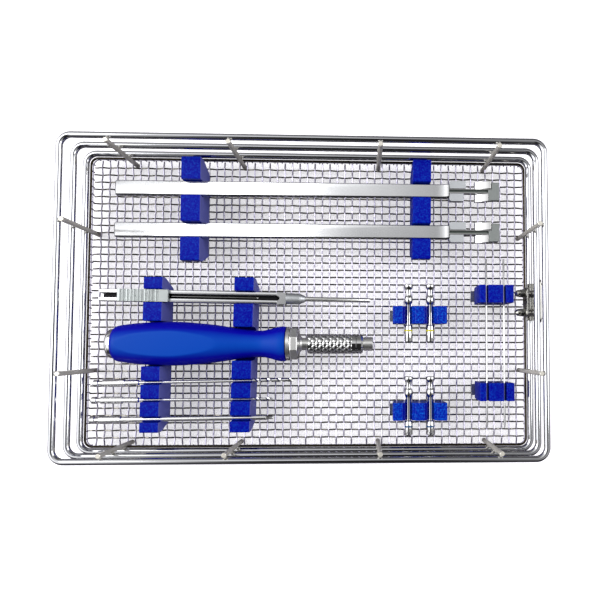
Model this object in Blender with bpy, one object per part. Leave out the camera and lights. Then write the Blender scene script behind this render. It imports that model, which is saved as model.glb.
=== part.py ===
"""Wire instrument tray with silicone holders, a lid latch and a set of small orthopaedic instruments."""

import math

import bmesh
import bpy
from mathutils import Matrix, Vector

MM = 0.001
SMOOTH_ANGLE = math.radians(40)

# Tray size. X is the long side, Y the short side, Z up from the surface the tray stands on.
TRAY_LENGTH = 300 * MM
TRAY_WIDTH = 200 * MM
TRAY_HEIGHT = 50 * MM
GAP = 0.3 * MM

# Ring wires
RING_R = 2.0 * MM
RING_CORNER_R = 9.0 * MM
MIDDLE_RING_Z = 30.5 * MM
LOWER_RING_Z = 13.8 * MM

# Posts: straight rods inside the rings, standing a little proud of the rim
POST_R = 1.5 * MM
POST_TOP_Z = 51.6 * MM
POST_X = (-119.5 * MM, -46.5 * MM, 46.0 * MM, 119.5 * MM)
POST_Y = (46.0 * MM, -46.0 * MM)

# Floor mesh: a layer of wires along X with a layer along Y over it
MESH_WIRE = 1.1 * MM
LONG_PITCH = 4.88 * MM
CROSS_PITCH = 5.15 * MM
EDGE_THICK = 0.8 * MM
EDGE_TOP_Z = 13.0 * MM
EDGE_CORNER_R = 4.2 * MM

# Holders
HOLDER_TOP_Z = 32.0 * MM
GUIDE_HOLDER_TOP_Z = 27.5 * MM
CLIP_THICK = 0.8 * MM
UNDERCUT = 5.5 * MM

# The latch sticks out past the right-hand rim, so the whole model moves by half of that.
LATCH_REACH = 4.5 * MM
SHIFT_X = -LATCH_REACH / 2

RIM_Z = TRAY_HEIGHT - RING_R
LONG_WIRE_Z = 5.8 * MM
CROSS_WIRE_Z = LONG_WIRE_Z + MESH_WIRE + GAP
FLOOR_TOP_Z = CROSS_WIRE_Z + MESH_WIRE
CLIP_Z = FLOOR_TOP_Z + GAP
HOLDER_BASE_Z = CLIP_Z + CLIP_THICK + GAP
POST_HALF_X = TRAY_LENGTH / 2 - 2 * RING_R - GAP - POST_R
POST_HALF_Y = TRAY_WIDTH / 2 - 2 * RING_R - GAP - POST_R
EDGE_HALF_X = POST_HALF_X - POST_R - GAP - EDGE_THICK / 2
EDGE_HALF_Y = POST_HALF_Y - POST_R - GAP - EDGE_THICK / 2

COLOURS = {
    "steel_ring": ((0.78, 0.79, 0.81), 0.12, 1.0),
    "steel_post": ((0.72, 0.73, 0.75), 0.18, 1.0),
    "steel_mesh": ((0.66, 0.67, 0.72), 0.25, 1.0),
    "steel_edge": ((0.48, 0.45, 0.42), 0.3, 1.0),
    "steel_clip": ((0.5, 0.51, 0.53), 0.3, 1.0),
    "silicone": ((0.01, 0.05, 0.5), 0.35, 0.0),
    "steel_latch": ((0.62, 0.63, 0.65), 0.15, 1.0),
    "steel_satin": ((0.74, 0.75, 0.77), 0.3, 1.0),
    "steel_slider": ((0.6, 0.61, 0.62), 0.35, 1.0),
    "steel_tool": ((0.8, 0.8, 0.82), 0.16, 1.0),
    "grip_blue": ((0.0, 0.05, 0.45), 0.42, 0.0),
}


def clear_scene():
    for old in list(bpy.data.objects):
        bpy.data.objects.remove(old, do_unlink=True)


def material(name):
    found = bpy.data.materials.get(name)
    if found:
        return found
    colour, roughness, metallic = COLOURS[name]
    made = bpy.data.materials.new(name)
    made.use_nodes = True
    shader = made.node_tree.nodes["Principled BSDF"]
    shader.inputs["Base Color"].default_value = (*colour, 1.0)
    shader.inputs["Roughness"].default_value = roughness
    shader.inputs["Metallic"].default_value = metallic
    made.diffuse_color = (*colour, 1.0)
    return made


def add_object(name, shape, colour, origin=(0.0, 0.0, 0.0)):
    """Makes an object from a bmesh, with its origin at the given point of the tray."""
    shift = Vector(origin)
    bmesh.ops.translate(shape, verts=shape.verts, vec=-shift)
    bmesh.ops.recalc_face_normals(shape, faces=shape.faces)
    mesh = bpy.data.meshes.new(name)
    shape.to_mesh(mesh)
    shape.free()
    mesh.shade_smooth()
    mesh.set_sharp_from_angle(angle=SMOOTH_ANGLE)
    obj = bpy.data.objects.new(name, mesh)
    obj.location = shift + Vector((SHIFT_X, 0.0, 0.0))
    mesh.materials.append(material(colour))
    bpy.context.scene.collection.objects.link(obj)
    return obj


def add_tool(target, cutter_shape, operation, name):
    """Cuts or joins a hidden helper shape, given in the tray's coordinates."""
    helper = add_object(name, cutter_shape, "steel_tool")
    helper.hide_render = True
    helper.display_type = "WIRE"
    step = target.modifiers.new(name, "BOOLEAN")
    step.object = helper
    step.operation = operation
    step.solver = "EXACT"
    return helper


def loft(shape, rings, closed):
    """Joins equal rings of vertices with quads, and caps both ends of an open row."""
    rows = [[shape.verts.new(point) for point in ring] for ring in rings]
    count = len(rows[0])
    last = len(rows) if closed else len(rows) - 1
    for i in range(last):
        a = rows[i]
        b = rows[(i + 1) % len(rows)]
        for j in range(count):
            k = (j + 1) % count
            shape.faces.new((a[j], a[k], b[k], b[j]))
    if not closed:
        shape.faces.new(rows[0][::-1])
        shape.faces.new(rows[-1])


def sweep(path, normal, radius, sides, closed):
    """A wire along a path that lies in one plane, mitred at each point, with a flat on its underside."""
    shape = bmesh.new()
    across = radius / math.cos(math.pi / sides)
    rings = []
    for i, point in enumerate(path):
        before = path[i - 1] if closed or i > 0 else None
        after = path[(i + 1) % len(path)] if closed or i < len(path) - 1 else None
        come = (point - before).normalized() if before is not None else None
        go = (after - point).normalized() if after is not None else None
        come = go if come is None else come
        go = come if go is None else go
        along = (come + go).normalized()
        stretch = 1.0 / max(0.3, along.dot(go))
        side = normal.cross(along).normalized() * stretch
        ring = []
        for j in range(sides):
            angle = 2 * math.pi * (j + 0.5) / sides
            ring.append(point + across * (math.cos(angle) * side + math.sin(angle) * normal))
        rings.append(ring)
    loft(shape, rings, closed)
    return shape


def arc(centre, radius, start, end, steps, axes):
    """Points from one angle to another, measured from the first of two axes towards the second."""
    first, second = axes
    points = []
    for i in range(steps + 1):
        angle = math.radians(start + (end - start) * i / steps)
        points.append(centre + radius * (math.cos(angle) * first + math.sin(angle) * second))
    return points


def rounded_rectangle(half_x, half_y, corner, z, steps):
    axes = (Vector((1, 0, 0)), Vector((0, 1, 0)))
    points = []
    for i, (sx, sy) in enumerate(((1, 1), (-1, 1), (-1, -1), (1, -1))):
        centre = Vector((sx * (half_x - corner), sy * (half_y - corner), z))
        points += arc(centre, corner, 90 * i, 90 * i + 90, steps, axes)
    return points


def box(low, high):
    shape = bmesh.new()
    bmesh.ops.create_cube(shape, size=1.0)
    for vert in shape.verts:
        for i in range(3):
            vert.co[i] = high[i] if vert.co[i] > 0 else low[i]
    return shape


def prism(outline, axis, low, high):
    """A flat outline pushed along an axis. The outline gives the other two coordinates in order."""
    shape = bmesh.new()
    rings = []
    for level in (low, high):
        ring = []
        for a, b in outline:
            parts = [a, b]
            parts.insert(axis, level)
            ring.append(Vector(parts))
        rings.append(ring)
    loft(shape, rings, False)
    return shape


def revolve(profile, sides, closed=False, phase=0.0):
    """A turned shape about the X axis. An open profile is capped, and a closed one is a ring."""
    shape = bmesh.new()
    rings = []
    for x, r in profile:
        ring = []
        for j in range(sides):
            angle = 2 * math.pi * (j + phase) / sides
            ring.append(Vector((x, r * math.cos(angle), r * math.sin(angle))))
        rings.append(ring)
    loft(shape, rings, closed)
    return shape


def place(shape, point, turn_deg=0.0):
    """Turns a shape about Z and moves it from the origin to a point."""
    matrix = Matrix.Translation(Vector(point)) @ Matrix.Rotation(math.radians(turn_deg), 4, "Z")
    bmesh.ops.transform(shape, matrix=matrix, verts=shape.verts)
    return shape


def centred(count, pitch):
    return [(i - (count - 1) / 2) * pitch for i in range(count)]


def wire_layer(along, positions, reach, side_reach, z):
    """Parallel square wires joined at both ends by a rail, as one body lying flat."""
    shape = bmesh.new()
    half = MESH_WIRE / 2
    stations = [-side_reach]
    for position in positions:
        stations += [position - half, position + half]
    stations.append(side_reach)
    across = 1 - along

    def vert(s, a, level):
        point = [0.0, 0.0, z + level * MESH_WIRE]
        point[along] = s
        point[across] = a
        return shape.verts.new(point)

    columns = {}
    for end in (-1, 1):
        for edge in (0, 1):
            s = end * (reach - edge * MESH_WIRE)
            for level in (0, 1):
                columns[end, edge, level] = [vert(s, a, level) for a in stations]
    last = len(stations) - 1
    for end in (-1, 1):
        out_low = columns[end, 0, 0]
        out_high = columns[end, 0, 1]
        in_low = columns[end, 1, 0]
        in_high = columns[end, 1, 1]
        for i in range(last):
            shape.faces.new((out_low[i], out_low[i + 1], out_high[i + 1], out_high[i]))
            shape.faces.new((out_low[i], in_low[i], in_low[i + 1], out_low[i + 1]))
            shape.faces.new((out_high[i], out_high[i + 1], in_high[i + 1], in_high[i]))
            if i % 2 == 0:
                shape.faces.new((in_low[i], in_high[i], in_high[i + 1], in_low[i + 1]))
        shape.faces.new((out_low[0], out_high[0], in_high[0], in_low[0]))
        shape.faces.new((out_low[last], in_low[last], in_high[last], out_high[last]))
    for i in range(1, last, 2):
        a = [columns[-1, 1, 0][i], columns[-1, 1, 1][i], columns[-1, 1, 1][i + 1], columns[-1, 1, 0][i + 1]]
        b = [columns[1, 1, 0][i], columns[1, 1, 1][i], columns[1, 1, 1][i + 1], columns[1, 1, 0][i + 1]]
        for j in range(4):
            k = (j + 1) % 4
            shape.faces.new((a[j], a[k], b[k], b[j]))
    return shape


def build_rings():
    half_x = TRAY_LENGTH / 2 - RING_R
    half_y = TRAY_WIDTH / 2 - RING_R
    up = Vector((0, 0, 1))
    for name, z in (("rim_ring", RIM_Z), ("middle_ring", MIDDLE_RING_Z), ("lower_ring", LOWER_RING_Z)):
        path = rounded_rectangle(half_x, half_y, RING_CORNER_R - RING_R, z, 4)
        add_object(name, sweep(path, up, RING_R, 12, True), "steel_ring")


def build_post(name, x, y):
    foot = Vector((x, y, 0))
    path = [foot, foot + Vector((0, 0, POST_TOP_Z))]
    add_object(name, sweep(path, Vector((0, 1, 0)), POST_R, 16, False), "steel_post", foot)


def build_posts():
    for row, y in (("back", POST_HALF_Y), ("front", -POST_HALF_Y)):
        for i, x in enumerate(POST_X):
            build_post(f"post_{row}_{i + 1}", x, y)
    for row, x in (("left", -POST_HALF_X), ("right", POST_HALF_X)):
        for i, y in enumerate(POST_Y):
            build_post(f"post_{row}_{i + 1}", x, y)


def build_floor():
    reach_x = EDGE_HALF_X - EDGE_THICK / 2 - GAP
    reach_y = EDGE_HALF_Y - EDGE_THICK / 2 - GAP
    side_x = reach_x - EDGE_CORNER_R
    side_y = reach_y - EDGE_CORNER_R
    long_count = int(2 * (side_y - MESH_WIRE) / LONG_PITCH) + 1
    cross_count = int(2 * (side_x - MESH_WIRE) / CROSS_PITCH) + 1
    layer = wire_layer(0, centred(long_count, LONG_PITCH), reach_x, side_y, LONG_WIRE_Z)
    add_object("mesh_long_wires", layer, "steel_mesh")
    layer = wire_layer(1, centred(cross_count, CROSS_PITCH), reach_y, side_x, CROSS_WIRE_Z)
    add_object("mesh_cross_wires", layer, "steel_mesh")
    low = LONG_WIRE_Z + 1.4 * MM
    rings = []
    half = EDGE_THICK / 2
    outer = rounded_rectangle(EDGE_HALF_X + half, EDGE_HALF_Y + half, EDGE_CORNER_R + EDGE_THICK, 0.0, 4)
    inner = rounded_rectangle(EDGE_HALF_X - half, EDGE_HALF_Y - half, EDGE_CORNER_R, 0.0, 4)
    bottom = Vector((0, 0, low))
    top = Vector((0, 0, EDGE_TOP_Z))
    for out, inside in zip(outer, inner):
        rings.append([out + bottom, out + top, inside + top, inside + bottom])
    shape = bmesh.new()
    loft(shape, rings, True)
    add_object("mesh_edge", shape, "steel_edge")


def holder_outline(ends, top, slots, undercut):
    """The side view of a holder: narrower at the foot, with its slots open at the top."""
    low, high = ends
    shoulder = top - 7 * MM
    points = [(low + undercut, HOLDER_BASE_Z), (low, shoulder), (low, top)]
    for centre, width, bottom in sorted(slots):
        points.append((centre - width / 2, top))
        points.append((centre - width / 2, bottom))
        points.append((centre + width / 2, bottom))
        points.append((centre + width / 2, top))
    points += [(high, top), (high, shoulder), (high - undercut, HOLDER_BASE_Z)]
    return points


def build_holder(name, along, ends, centre, width, top, slots, undercut, slant=0.0):
    """One holder and the clip under it. Slant is how far it drifts sideways for each unit of its length."""
    outline = holder_outline(ends, top, slots, undercut)
    body = prism(outline, 1 - along, centre - width / 2, centre + width / 2)
    middle = Vector((0, 0, HOLDER_BASE_Z))
    middle[along] = sum(ends) / 2
    middle[1 - along] = centre
    low = [0.0, 0.0, CLIP_Z]
    high = [0.0, 0.0, CLIP_Z + CLIP_THICK]
    low[along] = ends[0] + undercut - 2.5 * MM
    high[along] = ends[1] - undercut + 2.5 * MM
    low[1 - along] = centre - width / 2 + 2 * MM
    high[1 - along] = centre + width / 2 - 2 * MM
    clip = box(low, high)
    for shape in (body, clip):
        for vert in shape.verts:
            vert.co[1 - along] += slant * (vert.co[along] - middle[along])
    add_object(f"holder_{name}", body, "silicone", middle)
    add_object(f"clip_{name}", clip, "steel_clip")


# Instruments: places and main sizes
BAR_Y = (71.6 * MM, 44.6 * MM)
BAR_WIDTH = 9.6 * MM
BAR_Z = (25.0 * MM, 30.0 * MM)
BAR_X = (-123.0 * MM, 91.0 * MM)
HEAD_END_X = 124.4 * MM

GAUGE_AT = Vector((-67.7 * MM, 1.75 * MM, 0.0))
GAUGE_TURN = -0.9
GAUGE_HALF = 3.9 * MM
GAUGE_Z = (22.5 * MM, 28.9 * MM)
GAUGE_TUBE_Z = 26.2 * MM

DRIVER_Y = -28.1 * MM
DRIVER_Z = 27.0 * MM

SHANK_R = 2.25 * MM
BIT_Z = 27.6 * MM

GUIDE_X = (65.3 * MM, 79.6 * MM)
GUIDE_Z = 22.6 * MM
GUIDE_NECK_R = 1.7 * MM

PIN_X = (115.5 * MM, 126.9 * MM)
PIN_R = 0.6 * MM
PIN_Z = 28.4 * MM

HOLDER_A_X = -74.1 * MM
HOLDER_B_X = 73.3 * MM
HOLDER_C_X = -97.0 * MM
HOLDER_D_X = -40.6 * MM
BIT_X = -97.6 * MM
BIT_LINES = (
    ("drill_1", -52.55 * MM, 1.0, 1.0 * MM),
    ("drill_2", -63.55 * MM, 0.3, 0.8 * MM),
    ("hex_bit", -75.6 * MM, 0.65, 1.6 * MM),
)


def bit_y(line_y, turn, x):
    """Where a slightly turned instrument's centre line crosses a holder."""
    return line_y + math.tan(math.radians(turn)) * (x - BIT_X)


def build_holders():
    bar_slots = [(y, BAR_WIDTH + 2 * GAP, BAR_Z[0] - GAP) for y in BAR_Y]
    ends_a = (24.6 * MM, 91.2 * MM)
    ends_b = (26.6 * MM, 91.2 * MM)
    build_holder("a", 1, ends_a, HOLDER_A_X, 12.4 * MM, HOLDER_TOP_Z, bar_slots, UNDERCUT)
    build_holder("b", 1, ends_b, HOLDER_B_X, 11.8 * MM, HOLDER_TOP_Z, bar_slots, UNDERCUT, 0.008)
    plans = (("c", HOLDER_C_X, 11.8 * MM, 14.0 * MM, 0.012), ("d", HOLDER_D_X, 12.4 * MM, 10.5 * MM, 0.02))
    for name, x, width, grip_r, slant in plans:
        gauge_y = GAUGE_AT.y + math.tan(math.radians(GAUGE_TURN)) * (x - GAUGE_AT.x)
        slots = [(gauge_y, 2 * GAUGE_HALF + 0.8 * MM, GAUGE_Z[0] - GAP)]
        slots.append((DRIVER_Y, 2 * grip_r + 2 * GAP, DRIVER_Z - grip_r - GAP))
        for _, line_y, turn, r in BIT_LINES:
            slots.append((bit_y(line_y, turn, x), 2 * r + 0.7 * MM, BIT_Z - r - GAP))
        build_holder(name, 1, (-83.7 * MM, 14.0 * MM), x, width, HOLDER_TOP_Z, slots, UNDERCUT, slant)
    neck_slots = [(x, 2 * GUIDE_NECK_R + 2 * GAP, GUIDE_Z - GUIDE_NECK_R - GAP) for x in GUIDE_X]
    for name, y in (("e", -9.2 * MM), ("f", -71.7 * MM)):
        build_holder(name, 0, (55.0 * MM, 90.2 * MM), y, 11.4 * MM, GUIDE_HOLDER_TOP_Z, neck_slots, MM)
    pin_slots = [(x, 2 * PIN_R + 0.5 * MM, PIN_Z - PIN_R - GAP) for x in PIN_X]
    for name, y in (("g", 4.4 * MM), ("h", -58.8 * MM)):
        build_holder(name, 0, (110.3 * MM, 132.8 * MM), y, 11.5 * MM, HOLDER_TOP_Z, pin_slots, MM)


def build_bars():
    """Flat bending levers, each with a slotted double jaw at its right end."""
    half = BAR_WIDTH / 2
    jaw = 6.9 * MM
    web = 1.5 * MM
    x0, x1 = BAR_X
    side = [(x0, half - 1.2 * MM), (x0 + 1.2 * MM, half), (x1 - 2 * MM, half), (x1, half - 2.0 * MM)]
    side += [(x1 + 1.0 * MM, jaw - 0.6 * MM), (x1 + 1.6 * MM, jaw), (x1 + 10.0 * MM, jaw), (x1 + 10.0 * MM, web)]
    side += [(x1 + 17.9 * MM, web), (x1 + 17.9 * MM, jaw), (x1 + 29.0 * MM, jaw), (HEAD_END_X, jaw - 1.5 * MM)]
    for i, y in enumerate(BAR_Y):
        outline = [(x, y + dy) for x, dy in side]
        outline += [(x, y - dy) for x, dy in reversed(side)]
        centre = Vector(((x0 + HEAD_END_X) / 2, y, BAR_Z[0]))
        add_object(f"lever_{i + 1}", prism(outline, 2, *BAR_Z), "steel_satin", centre)


def build_gauge():
    """Depth gauge: a slotted bar with a hollow tube, a ribbed slider and the needle it carries."""
    low, high = GAUGE_Z
    x_left = -63.6 * MM
    x_nose = 52.3 * MM
    x_cone = 66.2 * MM
    x_tip = 107.9 * MM
    slot = 1.5 * MM
    slot_bottom = GAUGE_TUBE_Z - 1.2 * MM
    tube_r = 1.55 * MM
    bore_r = 0.9 * MM
    bar = box((x_left, -GAUGE_HALF, low), (x_nose - 2 * MM, GAUGE_HALF, high))
    body = place(bar, GAUGE_AT, GAUGE_TURN)
    gauge = add_object("gauge_body", body, "steel_satin", GAUGE_AT + Vector((0, 0, low)))
    at_tube = GAUGE_AT + Vector((0, 0, GAUGE_TUBE_Z))
    r = 3.4 * MM
    profile = [(x_nose - 6 * MM, r), (x_cone - 4 * MM, r), (x_cone, 2.3 * MM)]
    nose = place(revolve(profile, 16, phase=0.5), at_tube, GAUGE_TURN)
    add_tool(gauge, nose, "UNION", "cut_gauge_nose")
    channel = box((x_left - MM, -slot, slot_bottom), (x_nose - 5 * MM, slot, high + MM))
    cutter = place(channel, GAUGE_AT, GAUGE_TURN)
    add_tool(gauge, cutter, "DIFFERENCE", "cut_gauge_slot")
    bore = place(revolve([(x_nose - 8 * MM, bore_r), (x_cone + MM, bore_r)], 12), at_tube, GAUGE_TURN)
    add_tool(gauge, bore, "DIFFERENCE", "cut_gauge_bore")

    tube_start = x_cone + GAP
    wall = [(tube_start, bore_r), (tube_start, tube_r), (x_tip, tube_r), (x_tip, bore_r)]
    tube = place(revolve(wall, 12, closed=True), at_tube, GAUGE_TURN)
    add_object("gauge_tube", tube, "steel_satin", at_tube)

    # Slider: a ribbed thumb plate over the slot, with a keel that runs in it
    left = -51.5 * MM
    right = -19.4 * MM
    plate_low = high + GAP
    plate_top = plate_low + 2.4 * MM
    rib_low = plate_top - 0.7 * MM
    outline = [(left, plate_low), (left, plate_top - MM), (left + MM, plate_top), (left + 2.2 * MM, plate_top)]
    pitch = 2.25 * MM
    for i in range(11):
        start = left + 2.2 * MM + i * pitch
        outline += [(start + 0.3 * MM, rib_low), (start + 0.9 * MM, rib_low), (start + 1.2 * MM, plate_top)]
        outline.append((start + pitch, plate_top))
    outline += [(right, plate_top), (right, plate_low)]
    slider_shape = place(prism(outline, 1, -GAUGE_HALF, GAUGE_HALF), GAUGE_AT, GAUGE_TURN)
    slider = add_object("gauge_slider", slider_shape, "steel_slider", GAUGE_AT + Vector((0, 0, plate_low)))
    keel_low = (left + 6 * MM, -slot + GAP, GAUGE_TUBE_Z + 0.5 * MM + GAP)
    keel_high = (right - 2 * MM, slot - GAP, plate_low + 0.5 * MM)
    keel = place(box(keel_low, keel_high), GAUGE_AT, GAUGE_TURN)
    add_tool(slider, keel, "UNION", "join_gauge_keel")

    needle = revolve([(left + 8 * MM, 0.5 * MM), (35.0 * MM, 0.5 * MM), (36.0 * MM, 0.2 * MM)], 10)
    add_object("gauge_needle", place(needle, at_tube, GAUGE_TURN), "steel_tool", at_tube)


def build_driver():
    """Screwdriver handle: steel core with its coupling, end cap, silicone grip and locking sleeve."""
    axis = Vector((0, DRIVER_Y, DRIVER_Z))
    x_cap = -125.0 * MM
    x_grip = -120.9 * MM
    x_collar = -13.6 * MM
    x_neck = -5.2 * MM
    x_sleeve = 0.2 * MM
    x_nose = 35.4 * MM
    x_end = 41.9 * MM
    core_r = 4.0 * MM
    spindle_r = 4.4 * MM

    bottom = revolve([(x_cap, 8.6 * MM), (x_cap + 0.5 * MM, 9.3 * MM), (x_grip - GAP, 9.7 * MM)], 24)
    cap = add_object("driver_cap", place(bottom, axis), "steel_tool", axis + Vector((x_cap, 0, 0)))
    socket = revolve([(x_cap + 1.2 * MM, core_r + GAP), (x_grip + MM, core_r + GAP)], 24)
    add_tool(cap, place(socket, axis), "DIFFERENCE", "cut_cap_socket")

    # Grip outline: swells to a belly, narrows to a waist and flares to the collar
    stations = [(0.0, 11.3), (0.026, 12.0), (0.085, 12.5), (0.144, 13.2), (0.26, 13.9), (0.378, 13.9)]
    stations += [(0.495, 13.0), (0.58, 12.1), (0.67, 10.7), (0.76, 9.2), (0.847, 8.5), (0.905, 9.7)]
    stations += [(0.963, 11.1), (1.0, 11.3)]
    outer = [(x_grip + (x_collar - x_grip) * t, r * MM) for t, r in stations]
    inner = [(x_collar, core_r + GAP), (x_grip, core_r + GAP)]
    grip = revolve(outer + inner, 24, closed=True)
    add_object("driver_grip", place(grip, axis), "grip_blue", axis + Vector((x_grip, 0, 0)))

    flange = [(x_collar + GAP, 10.8 * MM), (x_neck - 0.4 * MM, 10.8 * MM), (x_neck, 10.3 * MM)]
    waist_r = 3.9 * MM
    neck = [(x_neck, 6.3 * MM), (x_neck + 0.8 * MM, 5.2 * MM), (x_neck + 1.6 * MM, waist_r)]
    neck += [(x_sleeve + 0.8 * MM, waist_r), (x_sleeve + 1.4 * MM, spindle_r)]
    nose = [(x_end - 0.5 * MM, spindle_r), (x_end, 3.8 * MM)]
    profile = [(x_cap + 1.5 * MM, core_r), (x_collar + GAP, core_r)] + flange + neck + nose
    core = revolve(profile, 24)
    add_object("driver_core", place(core, axis), "steel_tool", axis + Vector((x_neck, 0, 0)))

    r = 6.5 * MM
    bore = spindle_r + GAP
    outer = [(x_sleeve, bore), (x_sleeve, r - 0.5 * MM), (x_sleeve + 0.5 * MM, r), (x_nose - MM, r)]
    outer += [(x_nose, r - MM), (x_nose, bore)]
    sleeve = revolve(outer, 24, closed=True)
    add_object("driver_sleeve", place(sleeve, axis), "steel_tool", axis + Vector((x_sleeve, 0, 0)))


def build_bits():
    """Two twist drills and a hexagon driver, each with a notched quick-coupling shank."""
    # Where the shank, the flutes and the tip are along each bit, and the radius of its shoulder and flutes
    plans = {
        "drill_1": (-36.1 * MM, 63.6 * MM, 88.8 * MM, 1.8 * MM, 1.25 * MM),
        "drill_2": (-37.1 * MM, 63.6 * MM, 76.2 * MM, 1.8 * MM, 1.0 * MM),
        "hex_bit": (-38.0 * MM, 71.5 * MM, 76.3 * MM, 1.6 * MM, 1.1 * MM),
    }
    for name, line_y, turn, r in BIT_LINES:
        start, flute_at, tip_at, shoulder_r, flute_r = plans[name]
        shank = [(start, SHANK_R - 0.3 * MM), (start + 0.4 * MM, SHANK_R), (start + 3.0 * MM, SHANK_R)]
        shank += [(start + 3.6 * MM, 1.6 * MM), (start + 5.4 * MM, 1.6 * MM), (start + 6.0 * MM, SHANK_R)]
        shank += [(start + 19.4 * MM, SHANK_R), (start + 19.9 * MM, shoulder_r)]
        shank += [(-8.0 * MM, shoulder_r), (-7.2 * MM, r)]
        flute = [(flute_at, r), (flute_at + 0.6 * MM, flute_r)]
        flute += [(tip_at - 1.5 * MM, flute_r), (tip_at, 0.3 * MM)]
        bit = revolve(shank + flute, 12, phase=0.5)
        at = Vector((BIT_X, line_y, BIT_Z))
        add_object(name, place(bit, at, turn), "steel_tool", at)


def build_guides():
    """Drill guides: turned sleeves with a funnel head, a collar, a slim neck and a smooth barrel."""
    number = 0
    for top_y, barrel in ((11.1 * MM, 27.0), (-49.2 * MM, 28.8)):
        for x in GUIDE_X:
            number += 1
            profile = [(0.0, 2.5), (0.6, 2.95), (2.4, 2.95), (3.6, 1.9), (7.6, 1.9), (9.2, 2.8), (11.6, 2.8)]
            profile += [(13.4, 1.7), (barrel - 0.4, 1.7), (barrel, 2.65), (37.4, 2.65), (38.0, 2.2)]
            steps = [(a * MM, r * MM) for a, r in profile]
            guide = revolve(steps, 16, phase=0.5)
            at = Vector((x, top_y, GUIDE_Z))
            add_object(f"drill_guide_{number}", place(guide, at, -90.0), "steel_tool", at)


def build_pins():
    for i, x in enumerate(PIN_X):
        steps = [(0.0, PIN_R * 0.5), (0.8 * MM, PIN_R), (109.4 * MM, PIN_R), (110.0 * MM, PIN_R * 0.5)]
        pin = revolve(steps, 10, phase=0.5)
        at = Vector((x, 27.2 * MM, PIN_Z))
        add_object(f"guide_pin_{i + 1}", place(pin, at, -90.0), "steel_tool", at)


def build_latch():
    """Lid latch: two plates bolted through the side between the rings, and a wire bail on the outer one."""
    wall = TRAY_LENGTH / 2
    bolt_z = 21.5 * MM
    bolt_y = (5.5 * MM, -7.1 * MM)
    inner_x = wall - 7.1 * MM
    outer_x = wall + GAP
    bolt_r = 2.1 * MM
    thread_r = 1.4 * MM

    def hole(x, y, r, length):
        return place(revolve([(-length, r), (length, r)], 16), (x, y, bolt_z))

    plate = box((inner_x, -10.2 * MM, 16.8 * MM), (inner_x + MM, 9.3 * MM, 26.0 * MM))
    inner = add_object("latch_inner_plate", plate, "steel_latch", (inner_x, 0, bolt_z))
    # Outer plate in side view, with its lip turned in over the lower ring
    lip_x = wall - 2 * RING_R - GAP
    plate_top = 24.8 * MM
    lip = LOWER_RING_Z + RING_R + GAP
    outline = [(lip_x, lip), (outer_x + MM, lip), (outer_x + MM, plate_top), (outer_x, plate_top)]
    outline += [(outer_x, lip + MM), (lip_x, lip + MM)]
    outer = add_object("latch_outer_plate", prism(outline, 1, -12.3 * MM, 12.5 * MM), "steel_latch")
    for i, y in enumerate(bolt_y):
        add_tool(inner, hole(inner_x, y, thread_r + GAP, 3 * MM), "DIFFERENCE", f"cut_inner_{i + 1}")
        add_tool(outer, hole(outer_x, y, bolt_r + GAP, 3 * MM), "DIFFERENCE", f"cut_outer_{i + 1}")
        head_x = outer_x + MM + GAP
        profile = [(inner_x - 2.8 * MM, thread_r), (inner_x + MM + GAP, thread_r)]
        profile += [(inner_x + MM + GAP, bolt_r), (head_x, bolt_r)]
        profile += [(head_x, 2.8 * MM), (head_x + 0.9 * MM, 2.4 * MM)]
        bolt = place(revolve(profile, 16), (0, y, bolt_z))
        add_object(f"latch_bolt_{i + 1}", bolt, "steel_latch", (inner_x, y, bolt_z))
        back = inner_x - GAP
        nut_r = 2.9 * MM
        dome = [(back - 6.6 * MM, 0.6 * MM), (back - 6.2 * MM, 1.6 * MM), (back - 5.0 * MM, 2.4 * MM)]
        dome += [(back - 3.4 * MM, 2.7 * MM), (back - 3.4 * MM, nut_r), (back, nut_r)]
        socket = [(back, thread_r + GAP), (back - 3.0 * MM, thread_r + GAP), (back - 3.0 * MM, 0.2 * MM)]
        nut = place(revolve(dome + socket, 12), (0, y, bolt_z))
        add_object(f"latch_nut_{i + 1}", nut, "steel_latch", (inner_x, y, bolt_z))

    # Two ears carry the bail, a wire loop whose ends turn inwards
    pivot = Vector((wall + 2.6 * MM, 0.4 * MM, 21.0 * MM))
    wire_r = 0.9 * MM
    ear_y = 11.4 * MM
    for i, side in enumerate((-1, 1)):
        y = pivot.y + side * ear_y
        low = (outer_x + 0.5 * MM, y - 0.5 * MM, pivot.z - 1.8 * MM)
        high = (wall + LATCH_REACH, y + 0.5 * MM, pivot.z + 1.8 * MM)
        ear = box(low, high)
        add_tool(outer, ear, "UNION", f"join_ear_{i + 1}")
        bore = revolve([(-MM, wire_r + GAP / 2), (MM, wire_r + GAP / 2)], 12, phase=0.5)
        add_tool(outer, place(bore, (pivot.x, y, pivot.z), 90.0), "DIFFERENCE", f"cut_ear_{i + 1}")
    loop_y = ear_y + 2.0 * MM
    lean = Vector((-1.0 * MM, 0, 5.2 * MM))
    normal = Vector((0, 1, 0)).cross(lean).normalized()
    across = Vector((0, loop_y, 0))
    inset = Vector((0, ear_y - 0.7 * MM, 0))
    path = [pivot - inset, pivot - across, pivot - across + lean]
    path += [pivot + across + lean, pivot + across, pivot + inset]
    add_object("latch_bail", sweep(path, normal, wire_r, 8, False), "steel_latch", pivot)


def main():
    clear_scene()
    build_rings()
    build_posts()
    build_floor()
    build_holders()
    build_bars()
    build_gauge()
    build_driver()
    build_bits()
    build_guides()
    build_pins()
    build_latch()


main()
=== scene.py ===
"""Looks of a wire instrument tray: woven floor, silicone holders, lid latch and a small orthopaedic set.

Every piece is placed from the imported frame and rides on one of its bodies.
"""

import logging
import math
from collections.abc import Callable, Iterable, Sequence
from dataclasses import dataclass, field
from enum import Enum
from functools import lru_cache
from typing import Any

import bmesh
import bpy
import numpy as np
from mathutils import Euler, Matrix, Vector


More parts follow.
